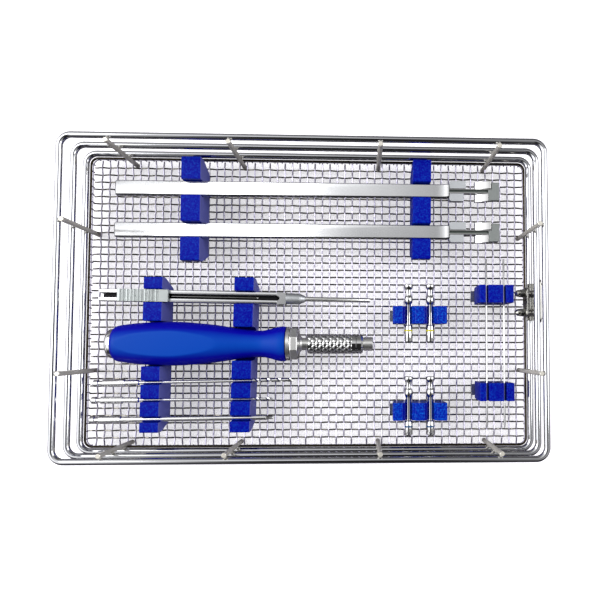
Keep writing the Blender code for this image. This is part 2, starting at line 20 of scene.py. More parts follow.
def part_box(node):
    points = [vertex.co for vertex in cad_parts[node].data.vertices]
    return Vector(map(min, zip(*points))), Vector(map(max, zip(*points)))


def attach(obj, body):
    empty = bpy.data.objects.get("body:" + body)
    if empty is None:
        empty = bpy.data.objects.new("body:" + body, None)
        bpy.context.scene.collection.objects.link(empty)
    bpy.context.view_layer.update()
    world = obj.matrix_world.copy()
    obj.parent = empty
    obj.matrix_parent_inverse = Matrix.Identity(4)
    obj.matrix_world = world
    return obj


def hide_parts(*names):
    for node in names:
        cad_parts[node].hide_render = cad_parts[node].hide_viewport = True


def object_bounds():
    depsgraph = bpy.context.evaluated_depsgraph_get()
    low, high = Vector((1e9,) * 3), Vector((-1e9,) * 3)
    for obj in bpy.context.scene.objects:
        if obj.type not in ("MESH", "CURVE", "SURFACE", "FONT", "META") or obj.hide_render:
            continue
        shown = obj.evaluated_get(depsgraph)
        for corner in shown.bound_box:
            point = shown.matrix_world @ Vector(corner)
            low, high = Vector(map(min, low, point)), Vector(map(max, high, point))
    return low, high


LOG = logging.getLogger("instrument_tray")
MM = 0.001
SMOOTH_ANGLE = math.radians(38)
UP = Vector((0, 0, 1))
Pair = tuple[float, float]

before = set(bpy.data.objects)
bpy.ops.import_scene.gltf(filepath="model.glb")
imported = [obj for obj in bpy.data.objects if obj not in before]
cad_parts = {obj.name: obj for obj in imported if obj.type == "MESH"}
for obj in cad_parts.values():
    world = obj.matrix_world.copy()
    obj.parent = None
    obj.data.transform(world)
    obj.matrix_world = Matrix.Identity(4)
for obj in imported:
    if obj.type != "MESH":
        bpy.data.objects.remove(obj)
CAD_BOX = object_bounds()


# ---------------------------------------------------------------- small helpers


def linear(hex_colour: str) -> tuple[float, float, float, float]:
    """Turns an sRGB hex colour into linear light.

    Args:
        hex_colour: Six hex digits, with or without a leading hash.

    Returns:
        Red, green, blue and an alpha of 1.
    """
    digits = hex_colour.lstrip("#")
    levels = [int(digits[i : i + 2], 16) / 255 for i in (0, 2, 4)]
    light = [v / 12.92 if v <= 0.04045 else ((v + 0.055) / 1.055) ** 2.4 for v in levels]
    return (light[0], light[1], light[2], 1.0)


def add_node(
    tree: bpy.types.NodeTree,
    kind: str,
    settings: dict[str, Any] | None = None,
    inputs: dict[Any, Any] | None = None,
) -> bpy.types.Node:
    """Adds a node, sets its properties, and fills its inputs with values or links.

    Args:
        tree: The tree it goes in.
        kind: The node's type name.
        settings: Property names and values.
        inputs: Input names or numbers, each with a value or another node's output.

    Returns:
        The new node.
    """
    made = tree.nodes.new(kind)
    for key, value in (settings or {}).items():
        setattr(made, key, value)
    fill(made, inputs or {})
    return made


def fill(node: bpy.types.Node, inputs: dict[Any, Any]) -> None:
    """Fills a node's inputs with values, or with links from other nodes' outputs."""
    for key, value in inputs.items():
        if isinstance(value, bpy.types.NodeSocket):
            node.id_data.links.new(value, node.inputs[key])
        else:
            node.inputs[key].default_value = value


def noise(
    tree: bpy.types.NodeTree, place: bpy.types.NodeSocket, scale: float, detail: float, **more: Any
) -> Any:
    """A noise pattern's level at a place."""
    inputs = {"Vector": place, "Scale": scale, "Detail": detail} | more
    return add_node(tree, "ShaderNodeTexNoise", {}, inputs).outputs["Fac"]


def remap(
    tree: bpy.types.NodeTree, value: Any, span: Pair, levels: Pair = (0.0, 1.0), smooth: bool = False
) -> Any:
    """Maps a value's span onto two levels, evenly or with soft ends."""
    inputs = {"Value": value, "From Min": span[0], "From Max": span[1]}
    inputs |= {"To Min": levels[0], "To Max": levels[1]}
    settings = {"interpolation_type": "SMOOTHSTEP" if smooth else "LINEAR"}
    return add_node(tree, "ShaderNodeMapRange", settings, inputs).outputs["Result"]


def mix(tree: bpy.types.NodeTree, factor: Any, first: Any, second: Any) -> Any:
    """Blends two colours, each a hex colour or another node's output."""
    ends = [linear(c) if isinstance(c, str) else c for c in (first, second)]
    inputs = {"Factor": factor, "A": ends[0], "B": ends[1]}
    return add_node(tree, "ShaderNodeMix", {"data_type": "RGBA"}, inputs).outputs["Result"]


def relief(tree: bpy.types.NodeTree, height: Any, strength: float, distance: float) -> Any:
    """A bump's normal."""
    inputs = {"Height": height, "Strength": strength, "Distance": distance}
    return add_node(tree, "ShaderNodeBump", {}, inputs).outputs["Normal"]


@dataclass(frozen=True)
class Box:
    """The space a CAD node takes at rest."""

    low: Vector
    high: Vector

    @classmethod
    def of(cls, node: str) -> "Box":
        """Reads a node's box from the frame."""
        low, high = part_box(node)
        return cls(low, high)

    @property
    def centre(self) -> Vector:
        """The middle of the box."""
        return (self.low + self.high) / 2

    @property
    def size(self) -> Vector:
        """The box's three sides."""
        return self.high - self.low


def axis_of(node: str, along: int) -> tuple[Vector, Vector]:
    """Finds the two ends of a long node's centre line.

    Args:
        node: The CAD node.
        along: 0 if it lies mainly along X, 1 along Y.

    Returns:
        The middle of its lowest end face and of its highest one.
    """
    points = np.array([v.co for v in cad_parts[node].data.vertices], float)
    spread = 0.02 * MM
    ends = []
    for level in (points[:, along].min(), points[:, along].max()):
        face = points[np.abs(points[:, along] - level) < spread + 0.12 * MM]
        ends.append(Vector(((face.min(0) + face.max(0)) / 2).tolist()))
    return ends[0], ends[1]


def placing(start: Vector, towards: Vector) -> Matrix:
    """A matrix that puts a shape built along +X from the origin onto a line, keeping its top up."""
    along = (towards - start).normalized()
    side = UP.cross(along).normalized()
    top = along.cross(side)
    turn = Matrix((along, side, top)).transposed().to_4x4()
    return Matrix.Translation(start) @ turn


def offsets(origin: Pair, *steps: Pair) -> list[Pair]:
    """Points given by their distances from an origin, in millimetres."""
    return [(origin[0] + a * MM, origin[1] + b * MM) for a, b in steps]


def arc(centre: Sequence[float], radius: float, start: float, end: float, steps: int) -> list[Pair]:
    """Points on a flat arc.

    Args:
        centre: The arc's centre.
        radius: Its radius.
        start: First angle in degrees, from the first coordinate's direction.
        end: Last angle in degrees.
        steps: Number of straight pieces.

    Returns:
        The points, first to last.
    """
    found = []
    for i in range(steps + 1):
        angle = math.radians(start + (end - start) * i / steps)
        found.append((centre[0] + radius * math.cos(angle), centre[1] + radius * math.sin(angle)))
    return found


def rounded_rectangle(half_x: float, half_y: float, corner: float, steps: int) -> list[Pair]:
    """A closed outline with four round corners, counter-clockwise."""
    found = []
    for i, (sx, sy) in enumerate(((1, 1), (-1, 1), (-1, -1), (1, -1))):
        centre = (sx * (half_x - corner), sy * (half_y - corner))
        found += arc(centre, corner, 90 * i, 90 * i + 90, steps)
    return found


def round_corners(points: Sequence[Pair], radii: Sequence[float], steps: int) -> list[Pair]:
    """Rounds the corners of a closed outline.

    Args:
        points: The sharp corners in order.
        radii: One radius for each corner, 0 to keep it sharp.
        steps: Number of straight pieces on each round.

    Returns:
        The rounded outline.
    """
    found = []
    count = len(points)
    for i, radius in enumerate(radii):
        corner = Vector(points[i])
        back = Vector(points[i - 1]) - corner
        ahead = Vector(points[(i + 1) % count]) - corner
        if radius <= 0:
            found.append((corner.x, corner.y))
            continue
        reach = min(radius, 0.49 * back.length, 0.49 * ahead.length)
        start = corner + back.normalized() * reach
        end = corner + ahead.normalized() * reach
        for j in range(steps + 1):
            t = j / steps
            point = start * (1 - t) ** 2 + corner * 2 * t * (1 - t) + end * t**2
            found.append((point.x, point.y))
    return found


def smooth_profile(stations: Sequence[Pair], steps: int) -> list[Pair]:
    """Runs a smooth curve through stations, each a place and a radius."""
    found = []
    last = len(stations) - 1
    for i in range(last):
        before = Vector(stations[max(i - 1, 0)])
        a = Vector(stations[i])
        b = Vector(stations[i + 1])
        after = Vector(stations[min(i + 2, last)])
        for j in range(steps):
            t = j / steps
            point = 0.5 * (
                2 * a
                + (b - before) * t
                + (2 * before - 5 * a + 4 * b - after) * t**2
                + (3 * a - before - 3 * b + after) * t**3
            )
            found.append((point.x, point.y))
    found.append(tuple(stations[last]))
    return found


# ---------------------------------------------------------------- finishes


@dataclass(frozen=True)
class SteelFinish:
    """Stainless steel: how bright, how smooth, and the marks its making left."""

    light: str
    dark: str
    rough_low: float
    rough_high: float
    grain_mm: float
    stretch: tuple[float, float, float] = (1.0, 1.0, 1.0)
    bump: float = 0.05
    metal: float = 1.0

    def dress(self, tree: bpy.types.NodeTree, shader: bpy.types.Node) -> None:
        """Adds the colour, roughness and relief nodes.

        Args:
            tree: The material's tree.
            shader: Its Principled node.
        """
        place = add_node(tree, "ShaderNodeTexCoord").outputs["Object"]
        scale = tuple(s / (self.grain_mm * MM) for s in self.stretch)
        mapping = add_node(tree, "ShaderNodeMapping", {}, {"Vector": place, "Scale": scale})
        grain = noise(tree, mapping.outputs["Vector"], 1.0, 3.0, Roughness=0.6)
        inputs = {"Metallic": self.metal}
        inputs["Base Color"] = mix(tree, noise(tree, place, 45.0, 2.0), self.dark, self.light)
        inputs["Roughness"] = remap(tree, grain, (0.0, 1.0), (self.rough_low, self.rough_high))
        inputs["Normal"] = relief(tree, grain, self.bump, 0.05 * MM)
        fill(shader, inputs)


@dataclass(frozen=True)
class SiliconeFinish:
    """Moulded silicone rubber: clouded by its pigment, or painted paler where it faces up as a highlight,
    with a colour painted on faces turned to +X for the light or shade on that side.
    """

    deep: str
    light: str
    cloud_mm: float
    roughness: float
    specular: float
    pore_mm: float
    bump: float
    # Colour painted on faces turned to +X, standing for the sheen or shade on that side of each finish
    side: str
    # True to paint faces turned up paler, as a highlight, in place of the pigment's clouds
    facing: bool = False

    def dress(self, tree: bpy.types.NodeTree, shader: bpy.types.Node) -> None:
        """Adds the clouded colour or the painted highlight on top, the painted colour on the right sides,
        and the fine moulded grain.
        """
        spot = add_node(tree, "ShaderNodeTexCoord")
        facing = add_node(tree, "ShaderNodeSeparateXYZ", {}, {"Vector": spot.outputs["Normal"]})
        place = spot.outputs["Object"]
        # Painted highlight: with facing set, faces turned up are paler instead of clouded
        if self.facing:
            share = remap(tree, facing.outputs["Z"], (0.72, 1.0))
        else:
            cloud = noise(tree, place, 1 / (self.cloud_mm * MM), 4.0, Roughness=0.7)
            share = remap(tree, cloud, (0.46, 0.68))
        # Painted light on the right sides: faces turned to +X blend into the side colour
        side = remap(tree, facing.outputs["X"], (0.3, 0.7))
        pores = noise(tree, place, 1 / (self.pore_mm * MM), 2.0)
        inputs = {"IOR": 1.41, "Roughness": self.roughness, "Specular IOR Level": self.specular}
        inputs["Base Color"] = mix(tree, side, mix(tree, share, self.deep, self.light), self.side)
        inputs["Normal"] = relief(tree, pores, self.bump, 0.1 * MM)
        fill(shader, inputs)


@dataclass(frozen=True)
class EnamelFinish:
    """A thin fired or anodised colour band, a little uneven where it meets the steel."""

    colour: str
    worn: str

    def dress(self, tree: bpy.types.NodeTree, shader: bpy.types.Node) -> None:
        """Adds the colour with faint wear."""
        place = add_node(tree, "ShaderNodeTexCoord").outputs["Object"]
        wear = noise(tree, place, 900.0, 3.0)
        fill(shader, {"Roughness": 0.3, "Base Color": mix(tree, wear, self.colour, self.worn)})


class Finish(Enum):
    """Every finish on the object, named for what the real one is; some also carry painted light or shade,
    and their names or notes say so.
    """

    # Drawn wire, electropolished: mirror-bright, with faint lines along it
    POLISHED_WIRE = SteelFinish("#D2D3D6", "#C2C3C8", 0.05, 0.11, 0.8, bump=0.02)
    # Rods cut to length and tumbled: a little duller than the rings
    POLISHED_ROD = SteelFinish("#E6E2D8", "#D2CEC4", 0.18, 0.30, 0.6, metal=0.35)
    # Woven wire, electropolished, as a lit and a shaded copy: the crimped wires across pale lilac as the lit
    # one, the long ones painted darker as shade
    WOVEN_CROSS = SteelFinish("#CFCBDD", "#B4B0C4", 0.30, 0.40, 0.5)
    WOVEN_LONG_SHADED = SteelFinish("#A09C96", "#7C7872", 0.10, 0.18, 0.5)
    # Binding along the mesh's edge, painted dark brown as the shaded gap by the lower ring
    EDGE_PAINTED_SHADE = SteelFinish("#4E463A", "#241F1A", 0.25, 0.40, 0.7)
    # Pressed sheet clips, satin
    PRESSED_SHEET = SteelFinish("#A9ABAE", "#85878B", 0.22, 0.35, 0.5)
    # Milled and buffed latch parts: bright, with dark reflections
    BUFFED_LATCH = SteelFinish("#C9C8C2", "#A9A79F", 0.08, 0.16, 0.6)
    # Levers ground and brushed along their length
    BRUSHED_LONG = SteelFinish("#D6D7D9", "#C6C7CA", 0.16, 0.26, 0.12, (0.04, 1.0, 1.0), 0.2)
    # The gauge's bar, ground bright on its rails; the thin sheet lining its slot is painted black as the
    # slot's shade
    GROUND_RAIL = SteelFinish("#DEDFE1", "#CFD0D3", 0.12, 0.20, 0.12, (0.04, 1.0, 1.0), 0.1)
    SLOT_PAINTED_SHADE = SteelFinish("#2C2C2E", "#1C1C1E", 0.40, 0.60, 0.2)
    # Bead-blasted steel: an even pale grey with no mirror in it
    BLASTED = SteelFinish("#CCCFD3", "#BBBEC2", 0.42, 0.55, 0.12, bump=0.2)
    # The levers' end blocks: the same blasting on a darker casting
    BLASTED_DARK = SteelFinish("#999D9C", "#848988", 0.42, 0.55, 0.12, bump=0.25)
    # The slider: milled, so its ridges catch the light
    MILLED = SteelFinish("#A6ABAB", "#909595", 0.34, 0.44, 0.12, bump=0.15)
    # Turned and polished instruments
    POLISHED_TOOL = SteelFinish("#D8D8D8", "#C8C8C9", 0.06, 0.12, 0.3)
    # Ground shanks and collars: paler and softer than the polished parts
    SATIN_TOOL = SteelFinish("#F2F2F3", "#E4E4E6", 0.14, 0.24, 0.3)
    # The driver's collar and spindle, turned and left paler still
    TURNED_RING = SteelFinish("#F4F4F3", "#E6E6E4", 0.26, 0.38, 0.3)
    # The floor of the deep cuts in the levers' heads: dull from the saw, and painted dark as the shade in
    # the cut
    SAWN_SLOT_PAINTED_SHADE = SteelFinish("#6F7672", "#555B58", 0.35, 0.5, 0.2)
    # Moulded holders: royal blue, clouded by the pigment, with a pale sheen painted on their right sides
    HOLDER_SILICONE = SiliconeFinish("#020290", "#083CB0", 0.9, 0.30, 0.10, 0.3, 0.12, "#6468B8")
    # The small holders, moulded in a paler batch, with shade painted on their right sides
    SMALL_SILICONE = SiliconeFinish("#04189C", "#1060D0", 1.2, 0.25, 0.16, 0.3, 0.12, "#04149C")
    # Handle overmould: smoother and more matt, painted paler where it faces up as a highlight
    GRIP_SILICONE = SiliconeFinish("#0608A0", "#0644B0", 9.0, 0.36, 0.10, 0.25, 0.06, "#0608A0", facing=True)
    YELLOW_BAND = EnamelFinish("#B8B010", "#D2C83A")
    BLUE_BAND = EnamelFinish("#123C66", "#2C5A88")


@lru_cache(maxsize=None)
def material_of(finish: Finish) -> bpy.types.Material:
    """Builds a finish's material once.

    Args:
        finish: Which finish.

    Returns:
        Its material.
    """
    made = bpy.data.materials.new(finish.name.lower())
    made.use_nodes = True
    shader = made.node_tree.nodes["Principled BSDF"]
    finish.value.dress(made.node_tree, shader)
    return made


# ---------------------------------------------------------------- shapes


@dataclass
class Shape:
    """Vertices and faces of one piece, gathered before they become a mesh."""

    points: list[Vector] = field(default_factory=list)
    faces: list[tuple[int, ...]] = field(default_factory=list)

    def loft(self, rings: Sequence[Sequence[Vector]], closed: bool = False) -> "Shape":
        """Joins equal rings of points with quads.

        Args:
            rings: The rings in order.
            closed: True to join the last to the first, otherwise both ends are capped.

        Returns:
            This shape.
        """
        base = len(self.points)
        count = len(rings[0])
        for ring in rings:
            self.points += [Vector(point) for point in ring]
        last = len(rings) if closed else len(rings) - 1
        for i in range(last):
            a = base + i * count
            b = base + ((i + 1) % len(rings)) * count
            for j in range(count):
                k = (j + 1) % count
                self.faces.append((a + j, a + k, b + k, b + j))
        if not closed:
            self.faces.append(tuple(base + j for j in reversed(range(count))))
            final = base + (len(rings) - 1) * count
            self.faces.append(tuple(final + j for j in range(count)))
        return self

    def turned(
        self,
        profile: Sequence[Pair],
        sides: int,
        closed: bool = False,
        section: Callable[[float, float, float], Pair] | None = None,
    ) -> "Shape":
        """A shape turned about X.

        Args:
            profile: Places along X, each with a radius.
            sides: Points around.
            closed: True for a ring with a bore.
            section: Changes a point's height and side, given x, y and z.

        Returns:
            This shape.
        """
        rings = []
        for x, radius in profile:
            ring = []
            for j in range(sides):
                angle = 2 * math.pi * (j + 0.5) / sides
                y = radius * math.cos(angle)
                z = radius * math.sin(angle)
                if section:
                    y, z = section(x, y, z)
                ring.append(Vector((x, y, z)))
            rings.append(ring)
        return self.loft(rings, closed)

    def prism(self, outline: Sequence[Pair], axis: int, low: float, high: float) -> "Shape":
        """A flat outline pushed along an axis; the outline gives the other two coordinates in order."""
        rings = []
        for level in (low, high):
            ring = []
            for a, b in outline:
                parts = [a, b]
                parts.insert(axis, level)
                ring.append(Vector(parts))
            rings.append(ring)
        return self.loft(rings)

    def block(self, low: Sequence[float], high: Sequence[float]) -> "Shape":
        """A box between two corners."""
        outline = [(low[0], low[1]), (high[0], low[1]), (high[0], high[1]), (low[0], high[1])]
        return self.prism(outline, 2, low[2], high[2])

    def wire(
        self, path: Sequence[Vector], normal: Vector, radius: float, sides: int, closed: bool = False
    ) -> "Shape":
        """A round wire along a path that lies in one plane.

        Args:
            path: The centre line.
            normal: The plane's normal.
            radius: The wire's radius.
            sides: Points around it.
            closed: True for a loop; otherwise both ends are cut with a small chamfer.

        Returns:
            This shape.
        """
        rings = []
        count = len(path)
        for i, point in enumerate(path):
            come = point - path[i - 1] if closed or i > 0 else path[1] - point
            go = path[(i + 1) % count] - point if closed or i < count - 1 else come
            along = (come.normalized() + go.normalized()).normalized()
            side = normal.cross(along).normalized() / max(0.5, along.dot(go.normalized()))
            rings.append((point, side, along))
        made = []
        for i, (point, side, along) in enumerate(rings):
            if not closed and i in (0, count - 1):
                inward = along if i == 0 else -along
                cuts = [(0.0, 0.82), (0.16 * radius, 1.0)]
                for depth, share in cuts if i == 0 else reversed(cuts):
                    made.append(self.circle(point + inward * depth, side, normal, radius * share, sides))
            else:
                made.append(self.circle(point, side, normal, radius, sides))
        return self.loft(made, closed)

    @staticmethod
    def circle(point: Vector, side: Vector, normal: Vector, radius: float, sides: int) -> list[Vector]:
        """Points on a circle across a wire."""
        found = []
        for j in range(sides):
            angle = 2 * math.pi * j / sides
            found.append(point + radius * (math.cos(angle) * side + math.sin(angle) * normal))
        return found

    def join(self, other: "Shape") -> "Shape":
        """Takes another shape's points and faces in."""
        base = len(self.points)
        self.points += other.points
        self.faces += [tuple(i + base for i in face) for face in other.faces]
        return self

    def moved(self, matrix: Matrix) -> "Shape":
        """Moves all points by a matrix."""
        self.points = [matrix @ point for point in self.points]
        return self

    def build(self, name: str, finish: Finish, bevel: float = 0.0, bevel_steps: int = 3) -> bpy.types.Object:
        """Makes the object, at the origin, smooth where its faces meet gently.

        Args:
            name: The piece's name.
            finish: Its finish.
            bevel: Width of the rounding on sharp edges, 0 for none.
            bevel_steps: Number of strips in the rounding.

        Returns:
            The new object.
        """
        mesh = bpy.data.meshes.new(name)
        mesh.from_pydata([tuple(point) for point in self.points], [], self.faces)
        work = bmesh.new()
        work.from_mesh(mesh)
        bmesh.ops.remove_doubles(work, verts=work.verts, dist=0.0005 * MM)
        bmesh.ops.recalc_face_normals(work, faces=work.faces)
        work.to_mesh(mesh)
        work.free()
        return link_piece(name, mesh, finish, bevel, bevel_steps)


def link_piece(
    name: str, mesh: bpy.types.Mesh, finish: Finish, bevel: float = 0.0, bevel_steps: int = 3
) -> bpy.types.Object:
    """Puts a mesh in the scene as a finished piece.

    Args:
        name: The piece's name.
        mesh: Its mesh, in the frame's coordinates.
        finish: Its finish.
        bevel: Width of the rounding on sharp edges, 0 for none.
        bevel_steps: Number of strips in the rounding.

    Returns:
        The object.
    """
    mesh.name = name
    mesh.materials.clear()
    mesh.materials.append(material_of(finish))
    mesh.shade_smooth()
    obj = bpy.data.objects.new(name, mesh)
    bpy.context.scene.collection.objects.link(obj)
    if bevel:
        rounding = obj.modifiers.new("rounding", "BEVEL")
        rounding.width = bevel
        rounding.segments = bevel_steps
        rounding.limit_method = "ANGLE"
        rounding.angle_limit = SMOOTH_ANGLE
        rounding.harden_normals = True
    else:
        mesh.set_sharp_from_angle(angle=SMOOTH_ANGLE)
    return obj


def settle(obj: bpy.types.Object, body: str, nodes: Iterable[str] = ()) -> bpy.types.Object:
    """Makes a piece ride on its body and stand for its CAD nodes.

    Args:
        obj: The finished piece.
        body: The body it moves with.
        nodes: The CAD nodes it stands for.

    Returns:
        The piece.
    """
    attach(obj, body)
    if nodes:
        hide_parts(*nodes)
    LOG.info("%s: %d faces, rides on %s", obj.name, len(obj.data.polygons), body)
    return obj


# ---------------------------------------------------------------- geometry node trees


@dataclass
class Grower:
    """A Geometry Nodes tree with named inputs, and the way to turn its result into a plain mesh."""

    name: str
    tree: bpy.types.NodeTree = field(init=False)
    start: bpy.types.Node = field(init=False)
    sockets: dict[str, str] = field(init=False, default_factory=dict)

    def __post_init__(self) -> None:
        """Makes the empty tree with its geometry sockets."""
        self.tree = bpy.data.node_groups.new(self.name, "GeometryNodeTree")
        self.tree.interface.new_socket("Geometry", in_out="INPUT", socket_type="NodeSocketGeometry")
        self.tree.interface.new_socket("Geometry", in_out="OUTPUT", socket_type="NodeSocketGeometry")
        self.start = add_node(self.tree, "NodeGroupInput")

    def value(self, name: str, kind: str = "Float") -> bpy.types.NodeSocket:
        """Declares a named input and gives its output socket inside the tree."""
        made = self.tree.interface.new_socket(name, in_out="INPUT", socket_type=f"NodeSocket{kind}")
        self.sockets[name] = made.identifier
        return self.start.outputs[name]

    def node(self, kind: str, settings: dict[str, Any] | None = None, **inputs: Any) -> bpy.types.Node:
        """Adds a node; an underscore in an input's name stands for a space."""
        plain = {key.replace("_", " "): value for key, value in inputs.items()}
        return add_node(self.tree, kind, settings, plain)

    def math(self, operation: str, a: Any, b: Any = 0.0) -> bpy.types.NodeSocket:
        """One step of arithmetic."""
        return add_node(self.tree, "ShaderNodeMath", {"operation": operation}, {0: a, 1: b}).outputs[0]

    def finish(self, geometry: bpy.types.NodeSocket) -> None:
        """Ends the tree: smooth faces, real copies, one material."""
        smooth = self.node("GeometryNodeSetShadeSmooth", Geometry=geometry)
        real = self.node("GeometryNodeRealizeInstances", Geometry=smooth.outputs[0])
        dressed = self.node(
            "GeometryNodeSetMaterial", Geometry=real.outputs[0], Material=self.value("Material", "Material")
        )
        self.node("NodeGroupOutput", Geometry=dressed.outputs[0])

    def grow(
        self, name: str, finish: Finish, base: bpy.types.Mesh | None = None, **values: Any
    ) -> bpy.types.Object:
        """Runs the tree and keeps its result as a plain mesh.

        Args:
            name: The piece's name.
            finish: Its finish.
            base: A path or points for the tree to work on, if it needs some.
            values: Values for the named inputs, with underscores for spaces.

        Returns:
            The new object, with no modifier.
        """
        mesh = base or bpy.data.meshes.new(name + "_base")
        helper = bpy.data.objects.new(name + "_helper", mesh)
        bpy.context.scene.collection.objects.link(helper)
        step = helper.modifiers.new("grow", "NODES")
        step.node_group = self.tree
        for key, value in values.items():
            step[self.sockets[key.replace("_", " ")]] = value
        step[self.sockets["Material"]] = material_of(finish)
        graph = bpy.context.evaluated_depsgraph_get()
        made = bpy.data.meshes.new_from_object(helper.evaluated_get(graph))
        bpy.data.objects.remove(helper, do_unlink=True)
        return link_piece(name, made, finish)


def weave_grower() -> Grower:
    """Parallel crimped wires along X, each passing over and under the wires that cross it."""
    g = Grower("weave")
    reach = g.value("Reach")
    line = g.node(
        "GeometryNodeCurvePrimitiveLine",
        Start=g.node("ShaderNodeCombineXYZ", X=g.math("MULTIPLY", reach, -1.0)).outputs[0],
        End=g.node("ShaderNodeCombineXYZ", X=reach).outputs[0],
    )
    fine = g.node("GeometryNodeResampleCurve", Curve=line.outputs[0], Count=g.value("Points", "Int"))
    rows = g.node(
        "GeometryNodeMeshLine",
        Count=g.value("Rows", "Int"),
        Start_Location=g.node("ShaderNodeCombineXYZ", Y=g.value("First Row")).outputs[0],
        Offset=g.node("ShaderNodeCombineXYZ", Y=g.value("Row Pitch")).outputs[0],
    )
    wires = g.node("GeometryNodeInstanceOnPoints", Points=rows.outputs[0], Instance=fine.outputs[0])
    index = g.node("GeometryNodeInputIndex")
    marked = g.node(
        "GeometryNodeStoreNamedAttribute",
        {"data_type": "FLOAT", "domain": "INSTANCE"},
        Geometry=wires.outputs[0],
        Name="row",
        Value=index.outputs[0],
    )
    real = g.node("GeometryNodeRealizeInstances", Geometry=marked.outputs[0])
    row = g.node("GeometryNodeInputNamedAttribute", {"data_type": "FLOAT"}, Name="row")
    place = g.node("GeometryNodeInputPosition")
    parts = g.node("ShaderNodeSeparateXYZ", Vector=place.outputs[0])
    turns = g.math("ADD", g.math("DIVIDE", parts.outputs["X"], g.value("Cross Pitch")), g.value("Phase"))
    half_turns = g.math("ADD", turns, row.outputs[0])
    wave = g.math("COSINE", g.math("MULTIPLY", half_turns, math.pi))
    lift = g.math("MULTIPLY", wave, g.value("Crimp"))
    bent = g.node(
        "GeometryNodeSetPosition",
        Geometry=real.outputs[0],
        Offset=g.node("ShaderNodeCombineXYZ", Z=lift).outputs[0],
    )
    ring = g.node("GeometryNodeCurvePrimitiveCircle", Resolution=8, Radius=g.value("Radius"))
    solid = g.node(
        "GeometryNodeCurveToMesh", Curve=bent.outputs[0], Profile_Curve=ring.outputs[0], Fill_Caps=True
    )
    turned = g.node(
        "GeometryNodeTransform",
        Geometry=solid.outputs[0],
        Translation=g.value("Place", "Vector"),
        Rotation=g.value("Turn", "Vector"),
    )
    g.finish(turned.outputs[0])
    return g


def fence_grower() -> Grower:
    """Short upright wires standing along a path, with a wire running past them half-way up."""
    g = Grower("fence")
    path = g.node("GeometryNodeMeshToCurve", Mesh=g.start.outputs["Geometry"])
    stations = g.node(
        "GeometryNodeResampleCurve", {"mode": "LENGTH"}, Curve=path.outputs[0], Length=g.value("Pitch")
    )
    height = g.value("Height")
    line = g.node(
        "GeometryNodeCurvePrimitiveLine",
        Start=(0.0, 0.0, 0.0),
        End=g.node("ShaderNodeCombineXYZ", Z=height).outputs[0],
    )
    ring = g.node("GeometryNodeCurvePrimitiveCircle", Resolution=8, Radius=g.value("Radius"))
    upright = g.node(
        "GeometryNodeCurveToMesh", Curve=line.outputs[0], Profile_Curve=ring.outputs[0], Fill_Caps=True
    )
    placed = g.node("GeometryNodeInstanceOnPoints", Points=stations.outputs[0], Instance=upright.outputs[0])
    runner = g.node("GeometryNodeCurveToMesh", Curve=path.outputs[0], Profile_Curve=ring.outputs[0])
    raised = g.node(
        "GeometryNodeTransform",
        Geometry=runner.outputs[0],
        Translation=g.node("ShaderNodeCombineXYZ", Z=g.math("MULTIPLY", height, 0.42)).outputs[0],
    )
    both = g.node("GeometryNodeJoinGeometry")
    g.tree.links.new(placed.outputs[0], both.inputs[0])
    g.tree.links.new(raised.outputs[0], both.inputs[0])
    g.finish(both.outputs[0])
    return g


def nugget_grower() -> Grower:
    """A small squashed drop of weld metal at each point."""
    g = Grower("nuggets")
    drop = g.node("GeometryNodeMeshUVSphere", Segments=12, Rings=8, Radius=g.value("Radius"))
    placed = g.node(
        "GeometryNodeInstanceOnPoints",
        Points=g.start.outputs["Geometry"],
        Instance=drop.outputs[0],
        Scale=(1.0, 1.0, 1.25),
    )
    g.finish(placed.outputs[0])
    return g


def knurl_grower() -> Grower:
    """Raised pads around a cylinder that lies along X, each row turned by half a pad from the last."""
    g = Grower("knurl")
    around = g.value("Around", "Int")
    along = g.value("Along", "Int")
    radius = g.value("Radius")
    index = g.node("GeometryNodeInputIndex").outputs[0]
    column = g.math("FLOOR", g.math("DIVIDE", index, around))
    row = g.math("SUBTRACT", index, g.math("MULTIPLY", column, around))
    half = g.math("MULTIPLY", g.math("MODULO", column, 2.0), 0.5)
    share = g.math("DIVIDE", g.math("ADD", row, half), around)
    angle = g.math("MULTIPLY", share, 2 * math.pi)
    x = g.math("MULTIPLY", g.math("ADD", column, 0.5), g.value("Step"))
    points = g.node("GeometryNodePoints", Count=g.math("MULTIPLY", around, along))
    spot = g.node(
        "ShaderNodeCombineXYZ",
        X=x,
        Y=g.math("MULTIPLY", g.math("SINE", angle), radius),
        Z=g.math("MULTIPLY", g.math("COSINE", angle), radius),
    )
    g.tree.links.new(spot.outputs[0], points.inputs["Position"])
    pad = g.node("GeometryNodeMeshUVSphere", Segments=12, Rings=7, Radius=1.0)
    turn = g.node("ShaderNodeCombineXYZ", X=g.math("MULTIPLY", angle, -1.0))
    placed = g.node(
        "GeometryNodeInstanceOnPoints",
        Points=points.outputs[0],
        Instance=pad.outputs[0],
        Rotation=turn.outputs[0],
        Scale=g.value("Pad", "Vector"),
    )
    g.finish(placed.outputs[0])
    return g


# ---------------------------------------------------------------- the tray


